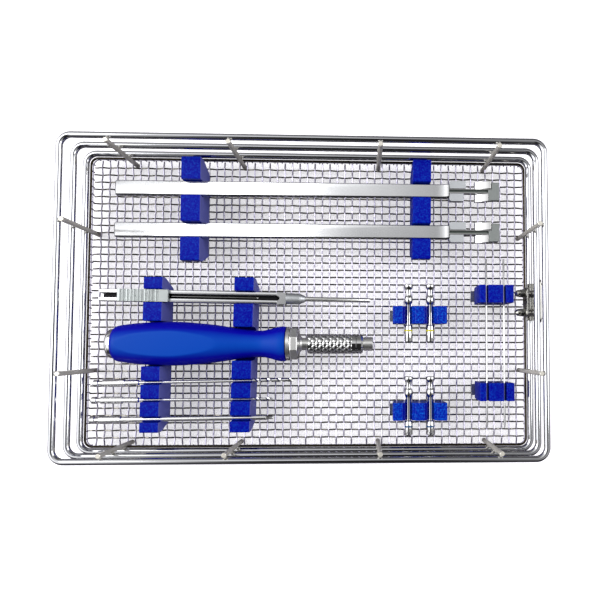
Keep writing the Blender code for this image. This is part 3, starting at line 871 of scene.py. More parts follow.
@dataclass
class Basket:
    """The three rings, the posts inside them and the weld drops between them."""

    ring_corner: float = 7.0 * MM
    ring_sides: int = 28
    body: str = "tray"

    def build(self) -> None:
        """Builds and dresses every ring, post and weld."""
        rings = ("rim_ring", "middle_ring", "lower_ring")
        for name in rings:
            self.ring(name)
        welds = []
        for row, along, count in (("back", 1, 4), ("front", 1, 4), ("left", 0, 2), ("right", 0, 2)):
            for number in range(1, count + 1):
                welds.append(self.post(f"post_{row}_{number}", along))
        self.weld(rings, welds)

    def ring(self, name: str) -> None:
        """One ring of round wire."""
        box = Box.of(name)
        radius = box.size.z / 2
        outline = rounded_rectangle(box.size.x / 2 - radius, box.size.y / 2 - radius, self.ring_corner, 14)
        centre = box.centre
        path = [Vector((centre.x + x, centre.y + y, centre.z)) for x, y in outline]
        made = Shape().wire(path, UP, radius, self.ring_sides, closed=True)
        settle(made.build(f"{name}_wire", Finish.POLISHED_WIRE), self.body, [name])

    def post(self, name: str, along: int) -> Vector:
        """One post: a straight rod cut off square, with the saw's small chamfer.

        Args:
            name: The post's node.
            along: The axis that crosses the wall it stands at.

        Returns:
            A point on the line where the post touches the rings.
        """
        box = Box.of(name)
        radius = min(box.size.x, box.size.y) / 2
        foot = Vector((box.centre.x, box.centre.y, box.low.z))
        path = [foot, foot + UP * box.size.z / 2, foot + UP * box.size.z]
        made = Shape().wire(path, Vector((0, 1, 0)), radius, 24)
        settle(made.build(f"{name}_rod", Finish.POLISHED_ROD), self.body, [name])
        touch = foot.copy()
        touch[along] = box.high[along] if foot[along] > 0 else box.low[along]
        return touch

    def weld(self, rings: Sequence[str], uprights: Sequence[Vector]) -> None:
        """Weld drops where each post meets each ring."""
        points = []
        for name in rings:
            z = Box.of(name).centre.z
            points += [(p.x, p.y, z) for p in uprights]
        base = bpy.data.meshes.new("weld_points")
        base.from_pydata(points, [], [])
        drops = nugget_grower().grow("weld_drops", Finish.POLISHED_ROD, base, Radius=0.75 * MM)
        settle(drops, self.body)


@dataclass
class WovenFloor:
    """The woven wire floor, its turned-up edge and the binding along the top of that."""

    cross_count: int = 57
    long_count: int = 39
    points_per_crossing: int = 4
    wire: float = 0.52 * MM
    binding: float = 1.5 * MM
    body: str = "tray"

    def build(self) -> None:
        """Builds both sets of wires, the edge wires and the binding."""
        long_box = Box.of("mesh_long_wires")
        cross_box = Box.of("mesh_cross_wires")
        ring = Box.of("lower_ring")
        level = (long_box.low.z + cross_box.high.z) / 2
        inside = ring.size.z + 0.1 * MM + self.wire
        reach_x = ring.size.x / 2 - inside
        reach_y = ring.size.y / 2 - inside
        cross_pitch = 2 * reach_x / self.cross_count
        long_pitch = 2 * reach_y / self.long_count
        weave = weave_grower()
        place = (ring.centre.x, ring.centre.y, level)
        common = {"Radius": self.wire, "Crimp": self.wire * 0.98, "Place": place}
        # The long wires take the copy painted darker as shade, the cross wires the pale lit copy
        long_wires = weave.grow(
            "mesh_long_weave",
            Finish.WOVEN_LONG_SHADED,
            Reach=reach_x,
            Points=self.points_per_crossing * self.cross_count + 1,
            Rows=self.long_count - 1,
            First_Row=-reach_y + long_pitch,
            Row_Pitch=long_pitch,
            Cross_Pitch=cross_pitch,
            Phase=self.cross_count / 2,
            Turn=(0.0, 0.0, 0.0),
            **common,
        )
        settle(long_wires, self.body, ["mesh_long_wires"])
        cross_wires = weave.grow(
            "mesh_cross_weave",
            Finish.WOVEN_CROSS,
            Reach=reach_y,
            Points=self.points_per_crossing * self.long_count + 1,
            Rows=self.cross_count - 1,
            First_Row=-reach_x + cross_pitch,
            Row_Pitch=cross_pitch,
            Cross_Pitch=long_pitch,
            Phase=self.long_count / 2 + 1.0,
            Turn=(0.0, 0.0, math.pi / 2),
            **common,
        )
        settle(cross_wires, self.body, ["mesh_cross_wires"])
        self.edge(reach_x, reach_y, cross_pitch)

    def edge(self, reach_x: float, reach_y: float, pitch: float) -> None:
        """The turned-up wires and the binding that hold the mesh's edge.

        Args:
            reach_x: Half the mesh's length, to the middle of its edge.
            reach_y: Half its width.
            pitch: Distance between upright wires.
        """
        box = Box.of("mesh_edge")
        centre = box.centre
        path = [
            (centre.x + x, centre.y + y, box.low.z)
            for x, y in rounded_rectangle(reach_x, reach_y, 4.6 * MM, 8)
        ]
        edges = [(i, (i + 1) % len(path)) for i in range(len(path))]
        base = bpy.data.meshes.new("edge_path")
        base.from_pydata(path, edges, [])
        height = box.size.z - self.binding / 2
        fence = fence_grower().grow(
            "mesh_edge_wires", Finish.WOVEN_CROSS, base, Pitch=pitch, Height=height, Radius=0.8 * self.wire
        )
        settle(fence, self.body, ["mesh_edge"])
        lift = Vector((0, 0, height))
        # The binding strip is painted dark brown as the shade in the gap by the lower ring
        strip = Shape().wire([Vector(p) + lift for p in path], UP, self.binding / 2, 10, closed=True)
        settle(strip.build("mesh_edge_binding", Finish.EDGE_PAINTED_SHADE), self.body)


@dataclass(frozen=True)
class Slot:
    """A cut in the top of a holder: where, how wide, how deep, and how far its mouth flares."""

    centre: float
    width: float
    bottom: float
    flare: float = 0.0
    round_foot: bool = True


@dataclass
class Holder:
    """One moulded silicone holder with its slots, and the steel clip it stands on."""

    letter: str
    along: int
    slots: list[Slot]
    undercut: float
    finish: Finish = Finish.HOLDER_SILICONE
    lip: float = 0.9 * MM
    edge: float = 0.55 * MM
    body: str = "tray"

    def build(self) -> None:
        """Builds the silicone and its clip."""
        box = Box.of(f"holder_{self.letter}")
        across = 1 - self.along
        slant, half = self.lie(f"holder_{self.letter}")
        corners, radii = self.outline(box)
        outline = round_corners(corners, radii, 5)
        made = Shape().prism(outline, across, box.centre[across] - half, box.centre[across] + half)
        self.shear(made, box, slant)
        silicone = made.build(f"holder_{self.letter}_silicone", self.finish, self.edge)
        settle(silicone, self.body, [f"holder_{self.letter}"])
        self.clip()

    def lie(self, node: str) -> Pair:
        """How far a node drifts sideways for each unit of its length, and half its own width."""
        box = Box.of(node)
        across = 1 - self.along
        start, end = axis_of(node, self.along)
        slant = (end[across] - start[across]) / (end[self.along] - start[self.along])
        return slant, (box.size[across] - abs(slant) * box.size[self.along]) / 2

    def shear(self, shape: Shape, box: Box, slant: float) -> None:
        """Lays a straight shape along the holder's slanting line."""
        for point in shape.points:
            point[1 - self.along] += slant * (point[self.along] - box.centre[self.along])

    def outline(self, box: Box) -> tuple[list[Pair], list[float]]:
        """The side view of the silicone.

        Args:
            box: The space of the holder's CAD node.

        Returns:
            The corners in order, and the rounding of each.
        """
        low = box.low[self.along]
        high = box.high[self.along]
        top = box.high.z
        foot = box.low.z
        shoulder = top - 7 * MM
        corners = [(low + self.undercut, foot), (low, shoulder), (low, top)]
        radii = [0.5 * MM, 2.0 * MM, self.lip]
        for cut in sorted(self.slots, key=lambda s: s.centre):
            half = cut.width / 2
            mouth = half + cut.flare
            neck = top - (1.4 * cut.flare if cut.flare else 0.0)
            foot_round = half * 0.95 if cut.round_foot else 0.5 * MM
            corners.append((cut.centre - mouth, top))
            radii.append(0.35 * MM if cut.flare else self.lip * 0.8)
            if cut.flare:
                corners.append((cut.centre - half, neck))
                radii.append(0.5 * MM)
            corners += [(cut.centre - half, cut.bottom), (cut.centre + half, cut.bottom)]
            radii += [foot_round, foot_round]
            if cut.flare:
                corners.append((cut.centre + half, neck))
                radii.append(0.5 * MM)
            corners.append((cut.centre + mouth, top))
            radii.append(0.35 * MM if cut.flare else self.lip * 0.8)
        corners += [(high, top), (high, shoulder), (high - self.undercut, foot)]
        radii += [self.lip, 2.0 * MM, 0.5 * MM]
        return corners, radii

    def clip(self) -> None:
        """The pressed steel strip under the silicone, with its ends turned up a little."""
        box = Box.of(f"clip_{self.letter}")
        low = box.low[self.along]
        high = box.high[self.along]
        thick = box.size.z
        outline = [(low, box.low.z), (high, box.low.z), (high, box.high.z), (low, box.high.z)]
        slant, half = self.lie(f"clip_{self.letter}")
        middle = box.centre[1 - self.along]
        made = Shape().prism(outline, 1 - self.along, middle - half, middle + half)
        self.shear(made, box, slant)
        strip = made.build(f"clip_{self.letter}_strip", Finish.PRESSED_SHEET, thick * 0.3, 2)
        settle(strip, self.body, [f"clip_{self.letter}"])


def build_holders() -> None:
    """Works out every holder's slots from the instruments that lie in them."""
    gap = 0.25 * MM
    levers = [Box.of("lever_1"), Box.of("lever_2")]
    lever_half = 4.8 * MM
    gauge_ends = axis_of("gauge_needle", 0)
    driver = Box.of("driver_grip")
    bits = {name: axis_of(name, 0) for name in ("drill_1", "drill_2", "hex_bit")}
    bit_radius = {"drill_1": 1.0 * MM, "drill_2": 0.8 * MM, "hex_bit": 1.6 * MM}

    def crossing(ends: tuple[Vector, Vector], x: float) -> float:
        """Where a line crosses a given x."""
        share = (x - ends[0].x) / (ends[1].x - ends[0].x)
        return ends[0].y + share * (ends[1].y - ends[0].y)

    for letter in ("a", "b"):
        slots = [Slot(b.centre.y, 2 * lever_half + 2 * gap, b.low.z - gap, round_foot=False) for b in levers]
        Holder(letter, 1, slots, 5.5 * MM).build()
    gauge_box = Box.of("gauge_body")
    for letter, grip_radius in (("c", 14.0 * MM), ("d", 10.4 * MM)):
        x = Box.of(f"holder_{letter}").centre.x
        slots = [Slot(crossing(gauge_ends, x), 8.4 * MM, gauge_box.low.z - gap, round_foot=False)]
        slots.append(Slot(driver.centre.y, 2 * (grip_radius + gap), driver.centre.z - grip_radius - gap))
        for name, ends in bits.items():
            radius = bit_radius[name]
            level = ends[0].z - radius - gap
            slots.append(Slot(crossing(ends, x), 2 * radius + 0.5 * MM, level))
        Holder(letter, 1, slots, 5.5 * MM).build()
    guide_z = Box.of("drill_guide_1").centre.z
    neck = 1.7 * MM
    for letter in ("e", "f"):
        guides = [Box.of("drill_guide_1").centre.x, Box.of("drill_guide_2").centre.x]
        slots = [Slot(x, 2 * (neck + gap), guide_z - neck - gap, flare=2.2 * MM) for x in guides]
        Holder(letter, 0, slots, 1.0 * MM, Finish.SMALL_SILICONE).build()
    pins = [Box.of("guide_pin_1"), Box.of("guide_pin_2")]
    for letter in ("g", "h"):
        slots = [Slot(p.centre.x, p.size.z + 0.4 * MM, p.low.z - gap, flare=0.35 * MM) for p in pins]
        Holder(letter, 0, slots, 1.0 * MM).build()


# ---------------------------------------------------------------- the latch


@dataclass
class Latch:
    """The lid latch: two plates bolted through the side, domed nuts inside and a wire bail outside."""

    body: str = "tray"
    slot: str = "steel_latch"
    finish: Finish = Finish.BUFFED_LATCH

    def build(self) -> None:
        """Builds the plates, bolts, nuts and bail."""
        bolts = [Box.of("latch_bolt_1"), Box.of("latch_bolt_2")]
        self.inner_plate(bolts)
        self.outer_plate()
        for i, box in enumerate(bolts):
            self.bolt(i + 1, box)
            self.nut(i + 1)
        self.bail()

    def inner_plate(self, bolts: Sequence[Box]) -> None:
        """The flat plate inside the wall, with round corners."""
        box = Box.of("latch_inner_plate")
        outline = rounded_rectangle(box.size.y / 2, box.size.z / 2, 2.0 * MM, 5)
        outline = [(box.centre.y + y, box.centre.z + z) for y, z in outline]
        made = Shape().prism(outline, 0, box.low.x, box.high.x)
        plate = made.build("latch_inner_plate_sheet", self.finish, 0.2 * MM, 2)
        settle(plate, self.body, ["latch_inner_plate"])
        for i, bolt in enumerate(bolts):
            ring = offsets((box.low.x, 0), (-0.25, 1.9), (-0.25, 3.3), (-0.02, 3.4), (-0.02, 1.9))
            lift = Matrix.Translation((0, bolt.centre.y, bolt.centre.z))
            washer = Shape().turned(ring, 32, closed=True).moved(lift)
            settle(washer.build(f"latch_washer_{i + 1}", self.finish), self.body)

    def outer_plate(self) -> None:
        """The bent plate outside the wall, its lip over the lower ring and its two ears."""
        box = Box.of("latch_outer_plate")
        wall_x = box.high.x - 4.2 * MM
        thick = 1.0 * MM
        ear = Box.of("latch_bail")
        outline = [(box.low.x, box.low.z), (wall_x + thick, box.low.z), (wall_x + thick, box.high.z)]
        outline += [(wall_x, box.high.z), (wall_x, box.low.z + thick), (box.low.x, box.low.z + thick)]
        outline = round_corners(outline, [r * MM for r in (0.2, 1.2, 0.3, 0.3, 0.4, 0.2)], 4)
        made = Shape().prism(outline, 1, box.low.y, box.high.y)
        pivot = Vector((ear.high.x - 0.9 * MM, ear.centre.y, ear.low.z + 0.9 * MM))
        for side in (-1, 1):
            y = pivot.y + side * 11.4 * MM
            lobe = [(wall_x + 0.5 * MM, pivot.z - 1.8 * MM)]
            lobe += arc((box.high.x - 1.8 * MM, pivot.z), 1.8 * MM, -90, 90, 10)
            lobe.append((wall_x + 0.5 * MM, pivot.z + 1.8 * MM))
            made.prism(lobe, 1, y - 0.5 * MM, y + 0.5 * MM)
        plate = made.build("latch_outer_plate_sheet", self.finish, 0.15 * MM, 2)
        settle(plate, self.body, ["latch_outer_plate"])

    def bolt(self, number: int, box: Box) -> None:
        """A shoulder bolt with a low domed head and a turned groove."""
        shoulder = Box.of("latch_inner_plate").high.x + 0.3 * MM
        profile = offsets((box.low.x, 0), (0, 1.2), (0.2, 1.4)) + offsets((shoulder, 0), (0, 1.4), (0, 1.9))
        profile += offsets((shoulder, 0), (0.2, 2.1), (1.2, 2.1), (1.35, 1.85), (1.6, 1.85), (1.75, 2.1))
        profile += offsets((box.high.x, 0), (-0.9, 2.1), (-0.9, 2.7), (-0.5, 2.75), (-0.15, 2.3), (0, 1.4))
        lift = Matrix.Translation((0, box.centre.y, box.centre.z))
        made = Shape().turned(profile, 40).moved(lift).build(f"latch_bolt_{number}_turned", self.finish)
        settle(made, self.body, [f"latch_bolt_{number}"])

    def nut(self, number: int) -> None:
        """A hexagon cap nut with a domed end."""
        box = Box.of(f"latch_nut_{number}")
        back = box.high.x
        centre = box.centre
        hexagon = arc((centre.y, centre.z), box.size.y / 2, 30, 330, 5)
        base = back - 2.9 * MM
        curve = [(0.0, 2.45 * MM)] + [(0.4 * MM + a, r) for a, r in arc((0.0, 0.0), 2.4 * MM, 90, 20, 7)]
        stretch = (base - box.low.x) / curve[-1][0]
        profile = [(box.low.x, 0.3 * MM)] + [(base - depth * stretch, r) for depth, r in reversed(curve)]
        dome = Shape().turned(profile, 32).moved(Matrix.Translation((0, centre.y, centre.z)))
        made = Shape().prism(hexagon, 0, back - 3.0 * MM, back).join(dome)
        nut = made.build(f"latch_nut_{number}_domed", self.finish, 0.18 * MM, 2)
        settle(nut, self.body, [f"latch_nut_{number}"])

    def bail(self) -> None:
        """The wire loop whose ends turn into the ears."""
        box = Box.of("latch_bail")
        radius = 0.9 * MM
        pivot = Vector((box.high.x - radius, box.centre.y, box.low.z + radius))
        top = box.high.z - radius
        half = box.size.y / 2 - radius
        inner = 10.7 * MM
        bend = 1.8 * MM
        lean = (box.low.x + radius - pivot.x) / (top - pivot.z)
        side = [(-inner, 0.0)]
        side += arc((-half + bend * 0.6, bend * 0.6), bend * 0.6, 270, 180, 5)
        side += arc((-half + bend, top - pivot.z - bend), bend, 180, 90, 8)
        flat = side + [(-y, z) for y, z in reversed(side)]
        path = [pivot + Vector((lean * z, y, z)) for y, z in flat]
        normal = Vector((1, 0, -lean)).normalized()
        made = Shape().wire(path, normal, radius, 16).build("latch_bail_wire", self.finish)
        settle(made, "latch_bail", ["latch_bail"])


# ---------------------------------------------------------------- levers


@dataclass
class Lever:
    """A flat bending lever: brushed bar, blasted jaws, a slotted web and a polished hook."""

    number: int
    half: float = 4.8 * MM
    jaw: float = 6.9 * MM
    head: float = 33.4 * MM
    rise: float = 1.2 * MM
    node: str = field(init=False)
    box: Box = field(init=False)
    y: float = field(init=False)
    low: float = field(init=False)
    high: float = field(init=False)
    start: float = field(init=False)

    def __post_init__(self) -> None:
        """Reads where the lever lies."""
        self.node = f"lever_{self.number}"
        self.box = Box.of(self.node)
        self.y = self.box.centre.y
        self.low, self.high = self.box.low.z, self.box.high.z
        self.start = self.box.high.x - self.head

    def build(self) -> None:
        """Builds the bar and the pieces of its head."""
        self.bar()
        far = self.box.high.x - 4 * MM
        web = Shape()
        for y0, y1 in ((-1.5, -0.75), (0.95, 1.5)):
            top = (far, self.y + y1 * MM, self.high - 0.9 * MM)
            web.block((self.start - MM, self.y + y0 * MM, self.low), top)
        settle(web.build(f"{self.node}_web", Finish.POLISHED_TOOL, 0.15 * MM, 2), self.node)
        # A dark block filling the floor of the cut between the webs, painted as the shade in the cut
        near = (self.start - 0.8 * MM, self.y - 1.2 * MM, self.low + 0.1 * MM)
        floor = Shape().block(near, (far, self.y + 1.2 * MM, self.high - 2.6 * MM))
        settle(floor.build(f"{self.node}_slot", Finish.SAWN_SLOT_PAINTED_SHADE), self.node)
        self.jaws()
        self.hook()

    def bar(self) -> None:
        """The long bar, with chamfered edges, a square end and a curved rise up to the head."""
        low, left, start = self.low, self.box.low.x, self.start
        flat = self.high - self.rise
        stations = [(left, 0.8 * MM, flat - 0.9 * MM), (left + 0.25 * MM, 0.3 * MM, flat - 0.5 * MM)]
        stations += [(left + 0.9 * MM, 0.0, flat), (start - 9.0 * MM, 0.3 * MM, flat)]
        for i in range(1, 9):
            share = i / 8
            stations.append((start - 9.0 * MM + 8.4 * MM * share, 0.3 * MM, flat + self.rise * share**3))
        stations.append((start + 0.2 * MM, 0.6 * MM, self.high))
        rings = []
        for x, inset, top in stations:
            w = self.half - inset
            across = offsets((-w, low), (0, 0.2)) + offsets((-w, top), (0, -0.75), (0.8, 0))
            across += offsets((w, top), (-0.6, 0), (0, -0.56)) + offsets((w, low), (0, 0.2), (-0.2, 0))
            across += offsets((-w, low), (0.2, 0))
            rings.append([Vector((x, self.y + a, z)) for a, z in across])
        made = Shape().loft(rings).build(f"{self.node}_bar", Finish.BRUSHED_LONG)
        settle(made, self.node, [self.node])

    def jaws(self) -> None:
        """The two blasted jaw blocks either side of the web."""
        wide = self.jaw / MM
        for name, sign, length in (("upper", 1, 10.9), ("lower", -1, 9.2)):
            corners = [(0.2, 1.6), (length, 1.6), (length, wide - 0.15), (0.9, wide - 0.15), (0, wide - 1.6)]
            corners = offsets((self.start + 0.5 * MM, self.y), *[(a, sign * b) for a, b in corners])
            outline = round_corners(corners, [r * MM for r in (0.2, 0.5, 0.7, 0.6, 0.4)], 4)
            block = Shape().prism(outline, 2, self.low + 0.1 * MM, self.high - 0.7 * MM)
            made = block.build(f"{self.node}_jaw_{name}", Finish.BLASTED, 0.35 * MM, 3)
            settle(made, self.node)

    def hook(self) -> None:
        """The two wedge-topped hook blocks past the gap, and the blasted end that joins them."""
        low, high = self.low, self.high
        x0 = self.start + 17.4 * MM
        made = Shape()
        for sign, length in ((1, 10.4 * MM), (-1, 8.6 * MM)):
            sides = sorted((self.y + sign * 1.55 * MM, self.y + sign * (self.jaw - 0.1 * MM)))
            x1 = x0 + length
            outline = [(x0, low), (x1, low)] + offsets((x1, high), (0, 0), (-0.8, 0))
            made.prism(outline + offsets((x0, high), (0.6, -2.7), (0, -3.4)), 1, *sides)
        piece = made.build(f"{self.node}_hook", Finish.POLISHED_TOOL, 0.4 * MM, 3)
        settle(piece, self.node)
        near = (x0 + 8.9 * MM, self.y)
        far = (self.box.high.x, self.y)
        corners = offsets(near, (0, -6.2)) + offsets(far, (-0.5, -5.9), (0, -5.4), (0, 5.4), (-0.5, 5.8))
        corners += offsets(near, (2, 6), (2, 1.4), (0, 1.2))
        block = Shape().prism(corners, 2, low + 0.2 * MM, high - 0.8 * MM)
        settle(block.build(f"{self.node}_end", Finish.BLASTED_DARK, 0.3 * MM, 3), self.node)


# ---------------------------------------------------------------- depth gauge


@dataclass
class DepthGauge:
    """The depth gauge: slotted body, nose, tube, ribbed slider and needle."""

    half: float = 3.9 * MM
    slot: float = 1.5 * MM
    slot_end: float = 111.9 * MM
    ridge_count: int = 11
    ridge_pitch: float = 2.25 * MM
    body: str = "depth_gauge"
    left: Vector = field(init=False)
    place: Matrix = field(init=False)
    low: float = field(init=False)
    high: float = field(init=False)

    def __post_init__(self) -> None:
        """Reads where the gauge lies: its left end, and its bottom and top from the needle's axis."""
        start, end = axis_of("gauge_needle", 0)
        direction = (end - start).normalized()
        body_box = Box.of("gauge_body")
        self.left = start + direction * ((body_box.low.x - start.x) / direction.x)
        self.place = placing(self.left, end)
        self.low = body_box.low.z - self.left.z
        self.high = Box.of("gauge_slider").high.z - 2.4 * MM - 0.3 * MM - self.left.z

    def build(self) -> None:
        """Builds every piece along the needle's line."""
        self.build_bar()
        self.build_nose()
        self.build_slider()
        self.build_needle()

    def build_bar(self) -> None:
        """The slotted bar, with a black sheet painted in its slot as shade, and its round slot end."""
        s, h, end = self.slot, self.half, self.slot_end
        stop = end + s + 0.1 * MM
        sill = -1.2 * MM
        section = [(-h, self.low), (h, self.low), (h, self.high), (s, self.high), (s, sill)]
        section += [(-s, sill), (-s, self.high), (-h, self.high)]
        radii = [r * MM for r in (1.2, 1.2, 0.7, 0.25, 0.5, 0.5, 0.25, 0.7)]
        made = Shape().prism(round_corners(section, radii, 4), 0, 0.0, end + 0.1 * MM)
        bar = made.moved(self.place).build("gauge_bar", Finish.GROUND_RAIL, 0.2 * MM, 2)
        settle(bar, self.body, ["gauge_body"])
        # The slot's far end is a half round, open at the top and where the needle passes
        cap = Shape().block((end, -h, self.low), (stop, h, -1.1 * MM))
        for side in (-1, 1):
            corner = [(end + a, side * b) for a, b in arc((0.0, 0.0), s, 90, 30, 7)]
            corner += [(stop, side * 0.5 * s), (stop, side * h), (end, side * h)]
            cap.prism(corner[::side], 2, sill, self.high)
        settle(cap.moved(self.place).build("gauge_slot_end", Finish.GROUND_RAIL), self.body)
        # A thin black sheet lining the slot's floor and walls: painted shade in the slot
        near = 1.4 * MM
        floor = [(near, -s)] + arc((end, 0.0), s, -90, 90, 10) + [(near, s)]
        liner = Shape().prism(floor, 2, -1.18 * MM, -1.1 * MM)
        for side in (-1, 1):
            wall = sorted((side * s, side * (s - 0.1 * MM)))
            liner.block((near, wall[0], -1.1 * MM), (end, wall[1], self.high - 0.3 * MM))
        settle(liner.moved(self.place).build("gauge_slot_shade_sheet", Finish.SLOT_PAINTED_SHADE), self.body)

    def build_nose(self) -> None:
        """The square shoulder, the round nose and the thin tube, all bored for the needle."""
        bore = 0.75 * MM
        start = self.slot_end + self.slot + 0.1 * MM

        def squared(_: float, y: float, z: float) -> Pair:
            """Squares the outside to the bar's section and leaves the bore round."""
            if math.hypot(y, z) < MM:
                return (y, z)
            tall = self.high if z > 0 else -self.low
            stretch = min(self.half / max(abs(y), 1e-9), tall / max(abs(z), 1e-9))
            return (y * stretch, z * stretch)

        end = start + 4.0 * MM
        shoulder = [(start, bore), (start, self.half), (end - 0.4 * MM, self.half), (end, 0.93 * self.half)]
        block = Shape().turned(shoulder + [(end, bore)], 96, closed=True, section=squared).moved(self.place)
        settle(block.build("gauge_shoulder", Finish.GROUND_RAIL), self.body)
        outside = offsets((0, 0), (125.6, 3.55), (126.2, 3.4), (129.3, 2.1), (129.8, 1.7))
        profile = [(end, bore), (end, 3.55 * MM)] + outside + [(129.8 * MM, bore)]
        nose = Shape().turned(profile, 48, closed=True).moved(self.place)
        settle(nose.build("gauge_nose", Finish.BLASTED), self.body)
        wall = offsets((0, 0), (129.9, 0.9), (129.9, 1.5), (171.2, 1.5), (171.4, 1.35), (171.4, 0.9))
        tube = Shape().turned(wall, 32, closed=True).moved(self.place)
        settle(tube.build("gauge_tube_drawn", Finish.TURNED_RING), self.body, ["gauge_tube"])

    def build_slider(self) -> None:
        """The ribbed thumb plate and the keel below it."""
        x0 = 12.1 * MM
        x1 = 44.2 * MM
        low = self.high + 0.3 * MM
        top = low + 2.4 * MM
        h = self.half
        outline = [(x0, low), (x0, top - 1.0 * MM)]
        outline += arc((x0 + 1.0 * MM, top - 1.0 * MM), 1.0 * MM, 180, 90, 5)
        outline.append((x0 + 2.2 * MM, top))
        for i in range(self.ridge_count):
            a = x0 + 2.2 * MM + i * self.ridge_pitch
            outline += arc((a + 0.68 * MM, top), 0.68 * MM, 180, 360, 6)
            outline.append((a + self.ridge_pitch - 0.1 * MM, top))
        outline += [(x1 - 0.3 * MM, top), (x1, top - 0.3 * MM), (x1, low)]
        made = Shape().prism(outline, 1, -h, h)
        keel = self.slot - 0.3 * MM
        made.block((x0 + 6 * MM, -keel, 0.8 * MM), (x1 - 2 * MM, keel, low + 0.4 * MM))
        plate = made.moved(self.place).build("gauge_slider_plate", Finish.MILLED, 0.22 * MM, 2)
        settle(plate, "gauge_slider", ["gauge_slider"])

    def build_needle(self) -> None:
        """The thin needle with a small hook at its tip."""
        box = Box.of("gauge_needle")
        profile = offsets((box.low.x - self.left.x, 0), (0, 0.5))
        tip = (box.high.x - self.left.x, 0)
        profile += offsets(tip, (-2.2, 0.5), (-1.8, 0.34), (-0.9, 0.34), (-0.7, 0.5), (0, 0.15))
        needle = Shape().turned(profile, 20).moved(self.place)
        made = needle.build("gauge_needle_wire", Finish.POLISHED_TOOL)
        settle(made, "gauge_slider", ["gauge_needle"])


# ---------------------------------------------------------------- driver


